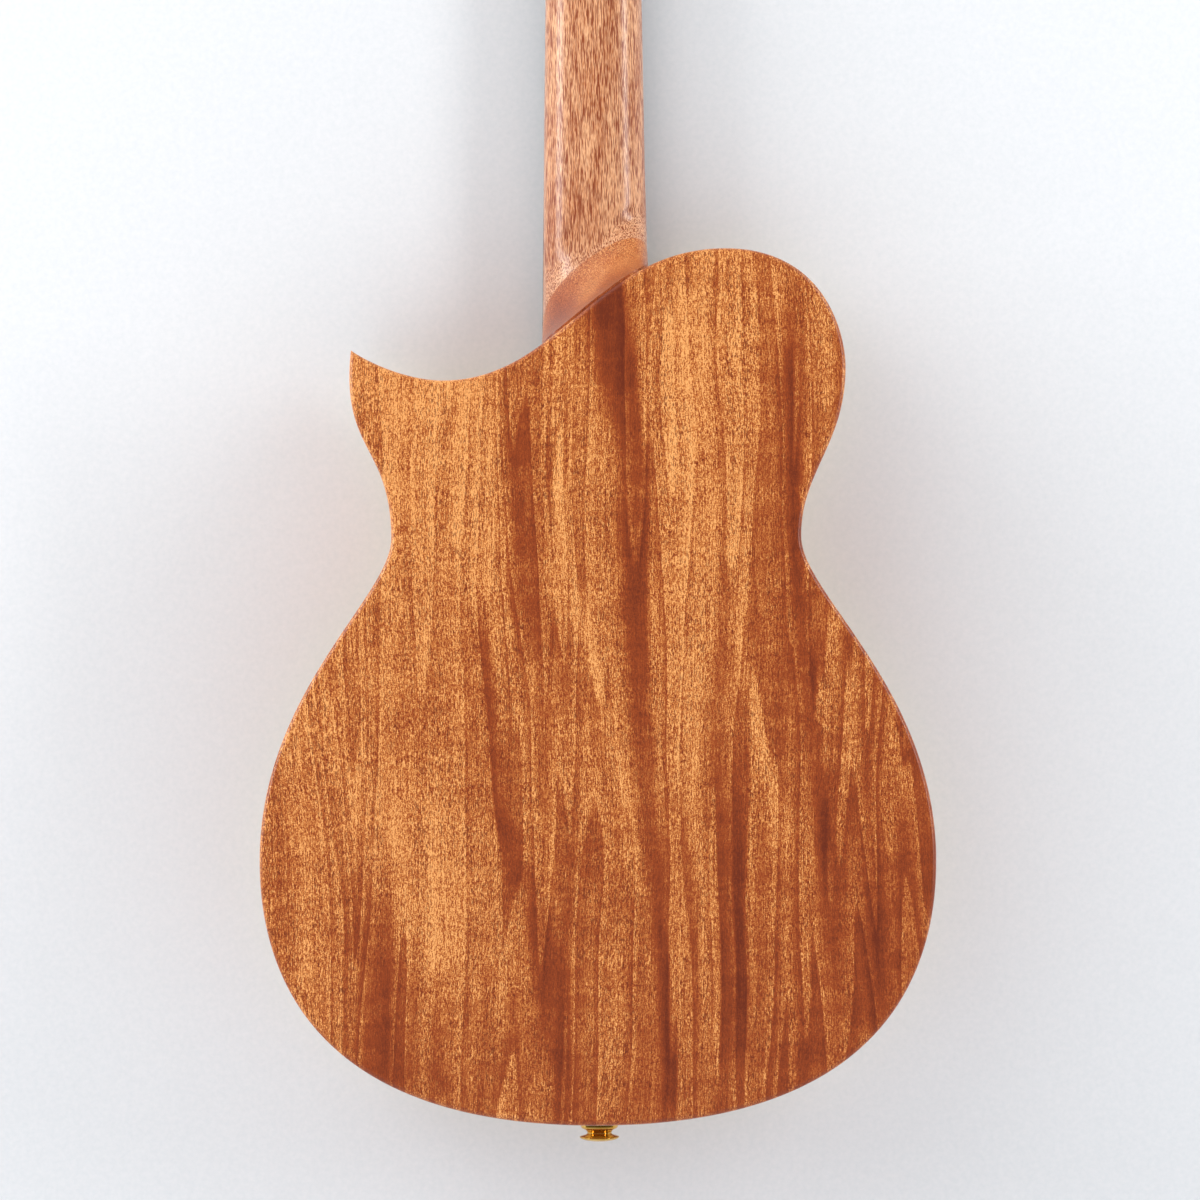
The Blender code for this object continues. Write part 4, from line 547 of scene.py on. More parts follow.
def net_fill(outline, step):
    """A flat outline filled by triangles on a square net of points, for values kept at each point."""
    low, high = outline.min(axis=0), outline.max(axis=0)
    net = np.stack(np.meshgrid(*[np.arange(a, b, step) for a, b in zip(low, high)]), axis=-1).reshape(-1, 2)
    x, y = net[:, :1], net[:, 1:]
    a, b = outline[::2], np.roll(outline[::2], -1, axis=0)
    at_y = (b[:, 0] - a[:, 0]) * (y - a[:, 1]) / (b[:, 1] - a[:, 1] + 1e-9) + a[:, 0]
    crosses = ((a[:, 1] > y) != (b[:, 1] > y)) & (x < at_y)
    near = np.sqrt(((net[:, None, :] - outline[None, ::4, :]) ** 2).sum(axis=2)).min(axis=1) < step
    net = net[(crosses.sum(axis=1) % 2 == 1) & ~near]
    edges = [(k, (k + 1) % len(outline)) for k in range(len(outline))]
    points = [Vector(p) for p in np.vstack([outline, net])]
    out = delaunay_2d_cdt(points, edges, [], 1, 1e-6)
    return np.array([tuple(p) for p in out[0]]), [list(f) for f in out[2]]


# %% [markdown]
# The broad ribbons of the back are drawn as a joiner would chalk them on a board: each
# one is a centre line, a width and a strength. A ribbon fades softly on one side and may end
# sharply on the other, because the light meets the fibres there at another angle. Under them
# lies a slope, paler towards the top and the treble side and darker towards the tail and the
# bass side: partly the board's own colour and partly painted light from the upper left. The
# result is one number at each point of the mesh, which the mahogany reads as its tone.

# %% The back's figure
RIBBONS = {
    "long dark ribbon": (-0.3, -1, (357, -2, 10), (328, -6, 8), (262, -16, 6.5), (213, -16, 5.5),
                         (165, -18.5, 4.5), (91, -23.5, 3.2), (18, -28.5, 2.6)),
    "dark shoulder": (-0.2, 0, (350, -2, 17), (300, -8, 12)),
    "gold beside it": (0.2, 1, (330, -36, 9), (240, -38, 10), (150, -38, 8), (90, -45, 3), (18, -46, 3)),
    "gold of the right waist": (0.2, 0, (330, -57, 4), (197, -58, 4), (120, -75, 5)),
    "dark of the right waist": (-0.28, -1, (315, -78, 4), (240, -80, 4), (190, -84, 4), (107, -92, 3.5)),
    "dark of the right bout": (-0.22, -1, (135, -53, 6), (34, -55, 7)),
    "right edge": (-0.2, 0, (105, -116, 7), (48, -112, 8)),
    "leaning wisp": (-0.22, 0, (200, 46, 4), (132, 42, 5), (70, 20, 5.5), (15, 14, 5)),
    "dark of the upper left": (-0.24, 1, (340, 26, 9), (298, 30, 10), (195, 26, 8)),
    "bright thread": (0.26, 0, (350, 16, 2), (255, 15.5, 2), (222, 10.5, 2.2), (165, -4, 2.4),
                      (105, -13.5, 2.6)),
    "gold of the left waist": (0.16, 0, (305, 60, 18), (225, 56, 15)),
    "gold of the left bout": (0.2, 0, (140, 76, 20), (65, 62, 15)),
    "dark of the left bout": (-0.22, 0, (90, 96, 13), (15, 84, 16)),
}


def smooth_step(low, high, value):
    """3t^2 - 2t^3 for t from 0 at low to 1 at high."""
    t = np.clip((value - low) / (high - low), 0, 1)
    return t * t * (3 - 2 * t)


def figure_and_painted_light_tone(x, height):
    """A slope from pale to dark, partly painted light from the upper left, and strength * across((x - centre)
    / half) * along(height) per ribbon.
    """
    # Painted light, with the board's own colour: the tone rises towards +x, the treble side, and towards the
    # top
    tone = 0.53 + 0.0009 * x + 0.0006 * (height - 180.0)
    for strength, sharp_side, *line in RIBBONS.values():
        at, centre, half = np.array(sorted(line), float).T
        u = (x - np.interp(height, at, centre)) / np.interp(height, at, half)
        soft = 1 - smooth_step(0.0, 1.7, np.abs(u))
        crisp = 1 - smooth_step(0.75, 1.15, np.abs(u))
        across = np.where(u * sharp_side > 0, crisp, soft)
        begun = smooth_step(at[0] - 22, at[0] + 12, height)
        ended = smooth_step(at[-1] - 12, at[-1] + 22, height)
        tone += strength * across * (begun * (1 - ended))
    return tone


def keep_number(mesh, name, formula):
    """One number at each point of a mesh: formula(x, y, z), in millimetres."""
    points = np.empty(len(mesh.vertices) * 3)
    mesh.vertices.foreach_get("co", points)
    values = formula(*(points.reshape(-1, 3).T / MM))
    mesh.attributes.new(name, "FLOAT", "POINT").data.foreach_set("value", values)


rings = [standing(r, back_face(r[:, 1]) - drop)
         for r, drop in ((edge_ring(inset), drop) for inset, drop in rounded_edge(2.0, BACK_THICK))]
flat, triangles = net_fill(edge_ring(2.5), 2.5)
shells = [grid(np.array(rings), True, (True, False)),
          (standing(flat, back_face(flat[:, 1])), triangles, None)]
back = piece("back", mesh_of("back", shells), MAHOGANY, ["back_plate"])
# The number named ribbon carries the ribbons and, under them, the slope of painted light
keep_number(back.data, "ribbon", lambda x, y, z: figure_and_painted_light_tone(x, z - TAIL_Z))
print(len(RIBBONS), "ribbons on", len(back.data.vertices), "points")

# %% Soundboard
# The hole lies 48 mm below the end of the fretboard, at the place of a nineteenth fret
HOLE_RADIUS = 33.0
HOLE_Z = -(SCALE * (1 - 2 ** (-19 / 12))) - 48.0


def circle(radius, y, count=96, centre=(0.0, HOLE_Z)):
    """Points round a circle in a plane of constant y."""
    angle = np.linspace(0, 2 * math.pi, count, endpoint=False)
    return np.column_stack([
        centre[0] + radius * np.cos(angle), np.full(count, float(y)), centre[1] + radius * np.sin(angle),
    ])


rings = [standing(edge_ring(inset), drop) for inset, drop in rounded_edge(1.0, TOP_THICK, 5)]
brim = ((0, TOP_THICK), (0, 0.3), (0.3, 0.0), (0.8, 0.0))
hole = np.array([circle(HOLE_RADIUS + wider, y) for wider, y in brim])
shells = [grid(np.array(rings), True), grid(hole, True)]
shells += [flat_fill(rings[end], hole[end]) for end in (-1, 0)]
top = piece("top", mesh_of("top", shells), TOP_SPRUCE, ["soundboard"])
print(len(back.data.polygons), "faces in the back,", len(top.data.polygons), "in the top")

# %% [markdown]
# The sides are strips bent to the outline. They carry a UV map in millimetres, length by
# depth, so that the grain runs along the bend as it does in a steamed strip.

# %% Sides
# Half the slot that the neck's tenon passes through
SLOT_HALF = 10.3


def strip(start, end, near, far, front, behind, mitre=(0.0, 0.0), step=2.5, kerf=None):
    """A bar of four-sided section bent to the outline between two lengths.

    Row k is the section at one length: its corners are the two insets at the front and the back.
    """
    count = max(int((end - start) / step), 2) + 1
    outer = np.linspace(start, end, count)
    inner = np.linspace(start + mitre[0], end - mitre[1], count)
    inset = np.full(count, float(far))
    if kerf is not None:
        outer, inset = kerf(start, end, near, far)
        inner = outer
    a, b = edge_line(outer, np.full(len(outer), float(near))), edge_line(inner, inset)
    corners = [
        standing(a, front(a[:, 1])), standing(a, behind(a[:, 1])),
        standing(b, behind(b[:, 1])), standing(b, front(b[:, 1])),
    ]
    points = np.stack([corners[0], corners[1], corners[1], corners[2], corners[2], corners[3],
                       corners[3], corners[0]], axis=1)
    across = np.array([0.0, 80.0, 100.0, 102.0, 122.0, 202.0, 222.0, 224.0])
    uv = np.stack(np.broadcast_arrays(across[None, :], outer[:, None]), axis=-1)
    ends = [flat_fill(points[0, [0, 2, 4, 6]]), flat_fill(points[-1, [0, 2, 4, 6]])]
    return [grid(points, False, uv=uv), *ends]


def behind_sides(height):
    return back_face(height) - BACK_THICK


def front_of_sides(height):
    return np.full(np.shape(height), TOP_THICK)


mitre = SIDE_THICK / math.tan(HORN_HALF)
for name, span, ends in (
    ("cutaway_side", (0.0, at_x(SLOT_HALF)), (mitre, 0.0)),
    ("bass_side", (at_x(-SLOT_HALF), TAIL_AT - 0.03), (0.0, 0.0)),
    ("treble_side", (TAIL_AT + 0.03, EDGE_TOTAL), (0.0, mitre)),
):
    shells = strip(*span, 0.0, SIDE_THICK, front_of_sides, behind_sides, ends)
    piece(name.replace("_side", "_bent_side"), mesh_of(name, shells), SIDE_MAHOGANY, [name])
print("sides bent")

# %% [markdown]
# ## The neck
#
# The neck's sections are half of a rounded box, flat where the fretboard is glued: the formula
# of a superellipse turns from nearly square at the headstock to round along the shaft and
# squarer again in the heel. Key sections are set along the neck and a smooth curve is laid
# through each of their points. The heel is a second block under the shaft: one plane, 18.5 mm
# behind the fretboard, cuts the shape in two, and its trace is the curved seam that is seen.

# %% Sections of the neck
NUT_HALF = 18.0
# The plane that parts neck and heel
GLUE_LINE = 18.4
HEAD_TURN = math.radians(13.0)
HEAD = Matrix.Translation((0, 0, 5.3)) @ Matrix.Rotation(-HEAD_TURN, 4, "X")
HEAD_ROWS = np.array(HEAD)[:3]
EDGE_Z = TAIL_Z + float(edge_at_x(0.0))


def fret_place(number):
    """Distance from the nut: the scale times 1 - 2^(-n/12)."""
    return float(SCALE * (1 - 2 ** (-np.asarray(number) / 12)))


def half_width(distance):
    """The board widens evenly from 36 mm at the nut to 44 mm at fret 14."""
    return NUT_HALF + 4.0 * distance / fret_place(14)


def in_head(points):
    """Points in the headstock's own frame carried into the instrument's."""
    return points @ HEAD_ROWS[:, :3].T + HEAD_ROWS[:, 3]


def half_box(half, depth, power, count=49):
    """x = -half sign(cos a)|cos a|^(2/p), y = depth |sin a|^(2/p), for a from 0 to 180 degrees."""
    angle = np.linspace(0, math.pi, count)
    x = -half * np.sign(np.cos(angle)) * np.abs(np.cos(angle)) ** (2 / power)
    return x, depth * np.abs(np.sin(angle)) ** (2 / power)


def smooth_rows(keys, steps=6):
    """A cubic curve through each column of key rows, with slopes from their neighbours."""
    gaps = np.linalg.norm(np.diff(keys, axis=0), axis=-1).mean(axis=1)
    at = np.concatenate([[0.0], np.cumsum(gaps)])
    slope = np.gradient(keys, at, axis=0)
    rows = []
    for k, gap in enumerate(gaps):
        t = np.linspace(0, 1, steps, endpoint=False)[:, None, None]
        rows.append(
            (2 * t ** 3 - 3 * t ** 2 + 1) * keys[k] + (t ** 3 - 2 * t ** 2 + t) * gap * slope[k]
            + (3 * t ** 2 - 2 * t ** 3) * keys[k + 1] + (t ** 3 - t ** 2) * gap * slope[k + 1]
        )
    return np.concatenate(rows + [keys[-1:]])


print("fret 14 lies", round(fret_place(14), 2), "mm from the nut")

# %% Outline of the headstock
HEAD_SIDE = np.vstack([
    bezier((NUT_HALF, 0), (NUT_HALF, 16), (30.0, 21), (30.0, 38), 24),
    bezier((30.0, 38), (30.0, 68), (33.0, 114), (33.0, 144), 12),
    bezier((33.0, 144), (30.0, 153), (16.0, 160), (0.0, 160), 24), [(0.0, 160.0)],
])


def head_half(reach):
    """Half the headstock's width at a reach from the nut."""
    return np.interp(reach, HEAD_SIDE[:60, 1], HEAD_SIDE[:60, 0])


def in_neck(x, y, z, lean):
    """A section at z, pushed along the neck by lean times the shape of the body's slanting edge."""
    return np.column_stack([x, y, z + lean * (edge_at_x(x) - float(edge_at_x(0.0)))])


keys = []
for share, power in ((1.0, 24), (0.72, 11), (0.45, 6), (0.2, 4)):
    x, y = half_box(float(head_half(28 * share)) - 0.05, 13.95 + 0.6 * (1 - share), power)
    keys.append(in_head(np.column_stack([x, y, np.full(len(x), 28 * share)])))
for z, depth, power in ((5.3, 14.8, 3.0), (0.0, 14.9, 2.6), (-20.0, 14.5, 2.3)):
    keys.append(in_neck(*half_box(half_width(max(-z, 0)), depth, power), z, 0.0))
HEEL_START = EDGE_Z + 60.0
for share in (0.25, 0.5, 0.75, 1.0):
    z = -20 + (HEEL_START + 20) * share
    keys.append(in_neck(*half_box(half_width(-z), 14.5 + 2.5 * share, 2.3), z, 0.0))
HEEL_DEPTH = back_face(float(edge_at_x(0.0))) - 1.6
for ahead, lean in ((50.0, 0.25), (39.0, 0.55)):
    keys.append(in_neck(*half_box(half_width(-EDGE_Z - ahead), 17.0, 2.3), EDGE_Z + ahead, lean))
for share in (0.0, 0.08, 0.16, 0.24, 0.32, 0.4, 0.48, 0.56, 0.64, 0.72, 0.8, 0.87, 0.93, 0.97):
    z = EDGE_Z + 1.2 + 27.8 * (1 - share)
    depth = 17 + (HEEL_DEPTH - 17) * (1 - math.sqrt(1 - share ** 2))
    keys.append(in_neck(*half_box(half_width(-z), depth, 2.3 + 5 * share), z, 0.8 + 0.2 * share))
keys.append(in_neck(*half_box(half_width(-EDGE_Z - 1), HEEL_DEPTH, 7.3), EDGE_Z + 1.2, 1.0))
x, y = half_box(half_width(-EDGE_Z), HEEL_DEPTH, 7.5)
foot = np.column_stack([x, y, TAIL_Z + edge_at_x(x) - 0.4])
NECK_SKIN = np.concatenate([smooth_rows(np.array(keys)), foot[None]])
print("neck skin rows and columns:", NECK_SKIN.shape[:2])

# %% [markdown]
# One bmesh call cuts a mesh by a plane and another fills the opening. The headstock is a flat
# blade with rounded edges at the back, drilled for the four posts, and is joined to the shaft.

# %% Neck, heel and headstock
POSTS = {1: (17.0, 54.0), 2: (17.0, 110.0), 3: (-17.0, 110.0), 4: (-17.0, 54.0)}


def halved(mesh, plane_y, keep_front):
    """The heel's end of a closed mesh cut by the plane y = constant, with one side kept and closed again."""
    work = bmesh.new()
    work.from_mesh(mesh)
    near_heel = [v for v in work.verts if v.co.z < (HEEL_START + 1) * MM]
    edges = {e for v in near_heel for e in v.link_edges}
    faces = {f for v in near_heel for f in v.link_faces}
    bmesh.ops.bisect_plane(
        work, geom=[*near_heel, *edges, *faces], dist=1e-7, plane_co=(0, plane_y * MM, 0),
        plane_no=(0, 1, 0), clear_outer=keep_front, clear_inner=not keep_front,
    )
    bmesh.ops.holes_fill(work, edges=[e for e in work.edges if e.is_boundary], sides=0)
    bmesh.ops.recalc_face_normals(work, faces=work.faces)
    work.to_mesh(mesh)
    work.free()
    return crisp(mesh, 40)


def inset_ring(ring, distance):
    """A closed flat ring moved inwards along the mean of its neighbours' normals."""
    along = np.roll(ring, -1, axis=0) - np.roll(ring, 1, axis=0)
    along /= np.hypot(*along.T)[:, None]
    return ring + np.stack([-along[:, 1], along[:, 0]], axis=1) * distance


def blade(outline, profile, holes):
    """A flat blade in the headstock's frame: rings of (inset, depth) round its edge, drilled through."""
    rings = [np.insert(inset_ring(outline, inset), 1, y, axis=1) for inset, y in profile]
    shells = [grid(np.array(rings), True)]
    bores = []
    for x, reach in holes:
        bores.append([circle(4.8, profile[end][1], 32, (x, reach)) for end in (0, -1)])
        shells.append(grid(np.array(bores[-1]), True))
    shells += [flat_fill(rings[end], *[bore[end] for bore in bores]) for end in (0, -1)]
    return [(in_head(points), faces, uv) for points, faces, uv in shells]


blank = HEAD_SIDE[HEAD_SIDE[:, 1] > 27.0]
blank = np.vstack([[(float(head_half(26.5)), 26.5)], blank])
blank = np.vstack([blank, (blank * [-1, 1])[:-1][::-1]])
edge = [(0.0, 0.0)] + [(i, 14.0 - d) for i, d in rounded_edge(2.0, 14.0)[1:]]
neck_mesh = halved(mesh_of("neck_skin", [grid(NECK_SKIN, True, (True, True))], 40), GLUE_LINE, True)
head_mesh = mesh_of("head_blade", blade(blank, edge, POSTS.values()), 40)
joined = bmesh.new()
joined.from_mesh(neck_mesh)
joined.from_mesh(head_mesh)
joined.to_mesh(neck_mesh)
joined.free()
neck = piece("neck_and_headstock", crisp(neck_mesh, 40), NECK_WOOD, ["neck"])
heel_rows = NECK_SKIN[NECK_SKIN[:, 0, 2] < HEEL_START]
heel_mesh = halved(mesh_of("heel_skin", [grid(heel_rows, True, (True, True))], 40), GLUE_LINE, False)
heel = piece("heel_block", heel_mesh, HEEL_MAHOGANY, ["heel"])
face = np.vstack([[(NUT_HALF, 0.3)], HEAD_SIDE[1:]])
face = np.vstack([face, (face * [-1, 1])[:-1][::-1]])
edge = [(0.0, 0.0), (0.0, -1.6), (0.15, -1.95), (0.5, -2.1), (0.9, -2.1)]
veneer = piece("headstock_face", mesh_of("headstock_face", blade(face, edge, POSTS.values())), ROSEWOOD,
               ["headstock_veneer"])
print("neck, heel and headstock:", [len(p.data.polygons) for p in (neck, heel, veneer)])

# %% [markdown]
# ## Fretboard, frets and marks
#
# The board is a long wedge in plan with softly broken edges, which a Bevel modifier adds. Each
# fret is a bar of half-oval section pressed across it: one profile is carried across all
# eighteen places at once, and its two end rows shrink so that the ends are dressed round.

# %% Fretboard and frets
def prism(outline, axis, start, end):
    """A closed outline pushed along one axis from start to end."""
    order = {"x": (2, 0, 1), "y": (0, 2, 1), "z": (0, 1, 2)}[axis]
    outline = np.asarray(outline, float)
    levels = [np.full(len(outline), float(level)) for level in (start, end)]
    rows = [np.column_stack([outline, level])[:, order] for level in levels]
    return [grid(np.array(rows), True), flat_fill(rows[0]), flat_fill(rows[1])]


def soften(made, width, segments=2, angle=40.0):
    """Breaks a piece's crisp edges with a Bevel modifier."""
    bevel = made.modifiers.new("broken_edges", "BEVEL")
    bevel.width, bevel.segments = width * MM, segments
    bevel.limit_method, bevel.angle_limit = "ANGLE", math.radians(angle)
    bevel.harden_normals = True
    return made


BOARD_END = fret_place(19)
end_half = half_width(BOARD_END)
plan = [(NUT_HALF, -0.05), (end_half, -BOARD_END), (-end_half, -BOARD_END), (-NUT_HALF, -0.05)]
soften(piece("fretboard_blank", mesh_of("fretboard_blank", prism(
    plan, "y", -5.8, -0.02,
)), ROSEWOOD, ["fretboard"]), 0.5)

crown = np.linspace(0, math.pi, 13)
across, rise = 1.1 * np.cos(crown), np.concatenate([np.sin(crown[:-1]) ** 0.8, [0.0]])
# How a wire's section grows from its end inwards, as a share of the full size
FROM_END, END_SIZE = np.array([0.0, 0.15, 0.5, 1.0]), np.array([0.05, 0.55, 0.85, 1.0])
wires = []
for number in range(1, 19):
    middle = fret_place(number)
    reach = half_width(middle) - 0.4
    x = np.concatenate([-reach + FROM_END, reach - FROM_END[::-1]])
    size = np.concatenate([END_SIZE, END_SIZE[::-1]])
    y = -5.75 - rise[None, :] * size[:, None] * 1.05
    z = -middle + across[None, :] * (0.75 + 0.25 * size[:, None])
    wires.append(grid(np.stack(np.broadcast_arrays(x[:, None], y, z), axis=-1), True, (True, True)))
piece("fret_wires", mesh_of("fret_wires", wires, 50), NICKEL)


def dot(x, y, z, radius, rise=0.12, axis="y"):
    """A low round dome: rings of shrinking radius whose height follows a quarter of a circle."""
    angle = np.linspace(0, 2 * math.pi, 28, endpoint=False)
    lift = np.linspace(0, math.pi / 2, 5)[:-1]
    ring = radius * np.array([1.0, *np.cos(lift)])[:, None]
    level = rise * np.array([-2.0, *np.sin(lift)])[:, None]
    a, b = ring * np.cos(angle), ring * np.sin(angle)
    level = np.broadcast_to(level, a.shape)
    points = [x + a, y - level, z + b] if axis == "y" else [x - level, y + a, z + b]
    return grid(np.stack(points, axis=-1), True, (True, True))


def between(fret):
    return (fret_place(fret) + fret_place(fret - 1)) / 2


marks = [dot(0.0, -5.8, -between(n), 3.0) for n in (5, 7, 10, 15)]
marks += [dot(x, -5.8, -between(12), 3.0) for x in (-9.0, 9.0)]
marks += [dot(-half_width(between(n)), -3.0, -between(n) + s, 1.0, 0.06, "x")
          for n, s in ((5, 0), (7, 0), (10, 0), (12, -2.2), (12, 2.2), (15, 0))]
piece("position_dots", mesh_of("position_dots", marks, 50), BONE)
print("frets and", len(marks), "dots")

# %% [markdown]
# ## Rosette and linings
#
# The rosette is a flat ring let into the top: dark and pale lines round a band of small
# blocks, all from the distance and the angle round the hole. The linings that widen the glue
# joint inside are kerfed: saw cuts let a strip of spruce bend, so the strip's inner face
# steps in and out every few millimetres.

# %% Rosette
def rosette_wood(name):
    material, tree, shader = new_material(name, Roughness=0.4, Coat_Weight=0.8, Coat_Roughness=0.15)
    axes = add(tree, "ShaderNodeSeparateXYZ", {0: millimetres(tree, shift=(0, 0, -HOLE_Z))}).outputs
    radius = calc(tree, "POWER", calc(tree, "ADD", calc(tree, "POWER", calc(tree, "ABSOLUTE", axes[0]), 2.0),
                                      calc(tree, "POWER", calc(tree, "ABSOLUTE", axes[2]), 2.0)), 0.5)
    angle = calc(tree, "ARCTAN2", axes[2], axes[0])
    slope = calc(tree, "MULTIPLY_ADD", calc(tree, "ABSOLUTE", calc(tree, "SUBTRACT", radius, 40.0)), 0.55,
                 calc(tree, "MULTIPLY", angle, 26.0))
    blocks = spread(tree, calc(tree, "SINE", slope), -0.15, 0.15)
    colour = blend_colour(tree, blocks, "3a2216", "c99a5e")
    for inner, outer, tint in ((0, 38.6, "140d0a"), (0, 38.0, "efe2c4"), (0, 37.5, "140d0a"),
                               (41.4, 99, "140d0a"), (42.0, 99, "efe2c4"), (42.5, 99, "140d0a")):
        inside = calc(tree, "MULTIPLY", calc(tree, "GREATER_THAN", radius, float(inner)),
                      calc(tree, "LESS_THAN", radius, float(outer)))
        colour = blend_colour(tree, inside, colour, tint)
    feed(tree, shader, Base_Color=colour)
    return material


section = ((37.0, 1.2), (37.0, -0.03), (43.0, -0.03), (43.0, 1.2), (37.0, 1.2))
ring = np.array([circle(r, y, 128) for r, y in section])
piece("rosette_inlay", mesh_of("rosette_inlay", [grid(ring, True)]), rosette_wood("rosette_marquetry"),
      ["rosette"])


def kerfed(start, end, near, far):
    """Lengths and insets of a strip with a 0.8 mm saw cut every 5.5 mm that leaves 1 mm of wood."""
    cuts = np.arange(start + 4.0, end - 4.0, 5.5)
    sides_of_cut = np.tile([-0.42, -0.4, 0.4, 0.42], len(cuts))
    lengths = np.concatenate([[start], np.repeat(cuts, 4) + sides_of_cut, [end]])
    inset = np.concatenate([[far], np.tile([far, near + 1.0, near + 1.0, far], len(cuts)), [far]])
    return lengths, inset


for name, span in (("cutaway", (25.0, at_x(35.5))), ("bass", (at_x(-35.5), TAIL_AT - 27.5)),
                   ("treble", (TAIL_AT + 27.5, EDGE_TOTAL - 25.0))):
    for place, front, behind in (
        ("top", lambda h: np.full(h.shape, 2.5), lambda h: np.full(h.shape, 14.7)),
        ("back", lambda h: back_face(h) - 14.9, lambda h: back_face(h) - 2.7),
    ):
        node = f"{name}_{place}_lining"
        piece(f"kerfed_{node}", mesh_of(node, strip(*span, 2.3, 7.5, front, behind, kerf=kerfed)),
              BARE_SPRUCE, [node])
print("linings kerfed")

# %% [markdown]
# ## Strings
#
# Each string is wound three times round its post, runs over the nut and the saddle and is tied
# at the bridge. A round section is carried along that route; each new section is the last one
# turned just enough to follow the string, so it never twists.

# %% Strings
def tube(path, radius, sides=12):
    """A closed round tube: P(s) + radius (cos a N(s) + sin a B(s)), with the length in its UV map."""
    path = np.asarray(path, float)
    steps = np.linalg.norm(np.diff(path, axis=0), axis=1)
    length = np.concatenate([[0.0], np.cumsum(steps)])
    along = np.gradient(path, length, axis=0)
    along /= np.linalg.norm(along, axis=1)[:, None]
    normal = [np.cross(along[0], (0.3, 0.9, 0.1))]
    for way_on in along[1:]:
        normal.append(normal[-1] - way_on * np.dot(normal[-1], way_on))
    normal = np.array(normal)
    normal /= np.linalg.norm(normal, axis=1)[:, None]
    side = np.cross(along, normal)
    angle = np.linspace(0, 2 * math.pi, sides, endpoint=False)
    ring = np.cos(angle)[:, None] * normal[:, None, :] + np.sin(angle)[:, None] * side[:, None, :]
    uv = np.stack(np.broadcast_arrays(length[:, None], angle[None, :]), axis=-1)
    return grid(path[:, None, :] + radius * ring, True, (True, True), uv)


def curve_through(points, steps):
    """A cubic curve through points, with slopes from their neighbours."""
    return smooth_rows(np.asarray(points, float)[:, None, :], steps)[:, 0]


def wound_on_post(number, radius, nut_x):
    """Three turns of a helix round the post, from where the string meets it down to the face."""
    x, reach = POSTS[number]
    side, coil = math.copysign(1, x), 3.3 + radius
    away = np.array([nut_x - x, -reach])
    first = math.atan2(away[1], away[0]) - side * math.acos(coil / np.hypot(*away))
    turns = np.linspace(0, 3, 145)
    angle = first - side * 2 * math.pi * turns
    depth = -2.1 - 12.2 + (2 * radius + 0.55) * turns
    return in_head(np.column_stack([x + coil * np.cos(angle), depth, reach + coil * np.sin(angle)]))


def tie(x, radius):
    """From the saddle through the tie block, back over it and down beside itself."""
    over, behind = 8.7 + radius, -21.1 - radius
    route = [
        (x, -12.0, -1.2), (x, -5.6, -8.9), (x, -5.4, -12.5), (x, -5.4, -19.0), (x + 0.4, -6.4, behind),
        (x + 1.4, -over + 0.8, behind + 0.2), (x + 2.3, -over, -17.0), (x + 2.3, -over, -13.0),
        (x + 2.3, -over + 0.7, -9.6),
    ]
    return np.array(route) + [0, 0, -513.0]


for number, radius in enumerate((0.36, 0.40, 0.44, 0.40), 1):
    nut_x, saddle_x = 9.3 * (2.5 - number), 13.5 * (2.5 - number)
    coil = wound_on_post(number, radius, nut_x)[::-1]
    straight = [(nut_x, -7.8, 0.6), (nut_x, -7.8, -0.4), (saddle_x, -12.1, -511.8)]
    path = np.vstack([coil, straight, curve_through(tie(saddle_x, radius), 6)])
    slot = "wound_string" if number > 2 else "plain_string"
    piece(f"string_{number}_{'wound' if number > 2 else 'plain'}", mesh_of(slot, [tube(path, radius)], 80),
          WOUND if number > 2 else NYLON, [f"string_{number}"])
print("four strings strung")

# %% [markdown]
# ## Turned pieces: tuners and strap button
#
# Anything made on a lathe is a profile of (radius, height) spun round an axis. The profile's
# corners are rounded off by short arcs. A knob is the same thing squeezed flat.

# %% Turned pieces
def turned(profile, segments=48, flat=1.0):
    """P(a, k) = (r_k cos a, flat r_k sin a, h_k): the profile's rows spun round the z axis."""
    profile = np.asarray(profile, float)
    angle = np.linspace(0, 2 * math.pi, segments, endpoint=False)
    r, h = profile[:, :1], profile[:, 1:]
    points = np.stack(np.broadcast_arrays(r * np.cos(angle), flat * r * np.sin(angle), h), axis=-1)
    return grid(points, True, (True, True))


def rounded(points, radius=0.4, steps=4):
    """A profile whose corners are replaced by short arcs that end the same distance from the corner."""
    points = np.asarray(points, float)
    out = [points[0]]
    for before, corner, after in zip(points, points[1:], points[2:]):
        back, on = before - corner, after - corner
        cut = min(radius, np.hypot(*back) * 0.45, np.hypot(*on) * 0.45)
        a, b = corner + back / np.hypot(*back) * cut, corner + on / np.hypot(*on) * cut
        t = np.linspace(0, 1, steps)[:, None]
        out.extend((1 - t) ** 2 * a + 2 * t * (1 - t) * corner + t * t * b)
    return np.array(out + [points[-1]])


def frame_of(place, axis_z, axis_x):
    """A matrix in metres from a piece's own millimetre frame to the instrument's."""
    z = Vector(axis_z).normalized()
    x = Vector(axis_x).normalized()
    y = z.cross(x)
    made = Matrix((x, y, z)).transposed().to_4x4()
    made.translation = Vector(place) * MM
    return made


HEAD_X, HEAD_Y, HEAD_Z = (tuple(HEAD_ROWS[:, k]) for k in (0, 1, 2))
BUSHING = [(3.3, 3.6), (5.7, 3.6), (6.2, 3.1), (6.2, 2.4), (4.5, 2.4), (4.5, -6.6), (3.3, -6.6), (3.3, 3.6)]
KNOB = curve_through([(0.0, 0.0, 33.5), (4.7, 0.0, 33.1), (7.3, 0.0, 31.3), (8.5, 0.0, 28.0),
                      (7.5, 0.0, 24.5), (5.1, 0.0, 22.3), (3.2, 0.0, 20.5)], 6)[:, [0, 2]]
KNOB[0, 0] = 0.01

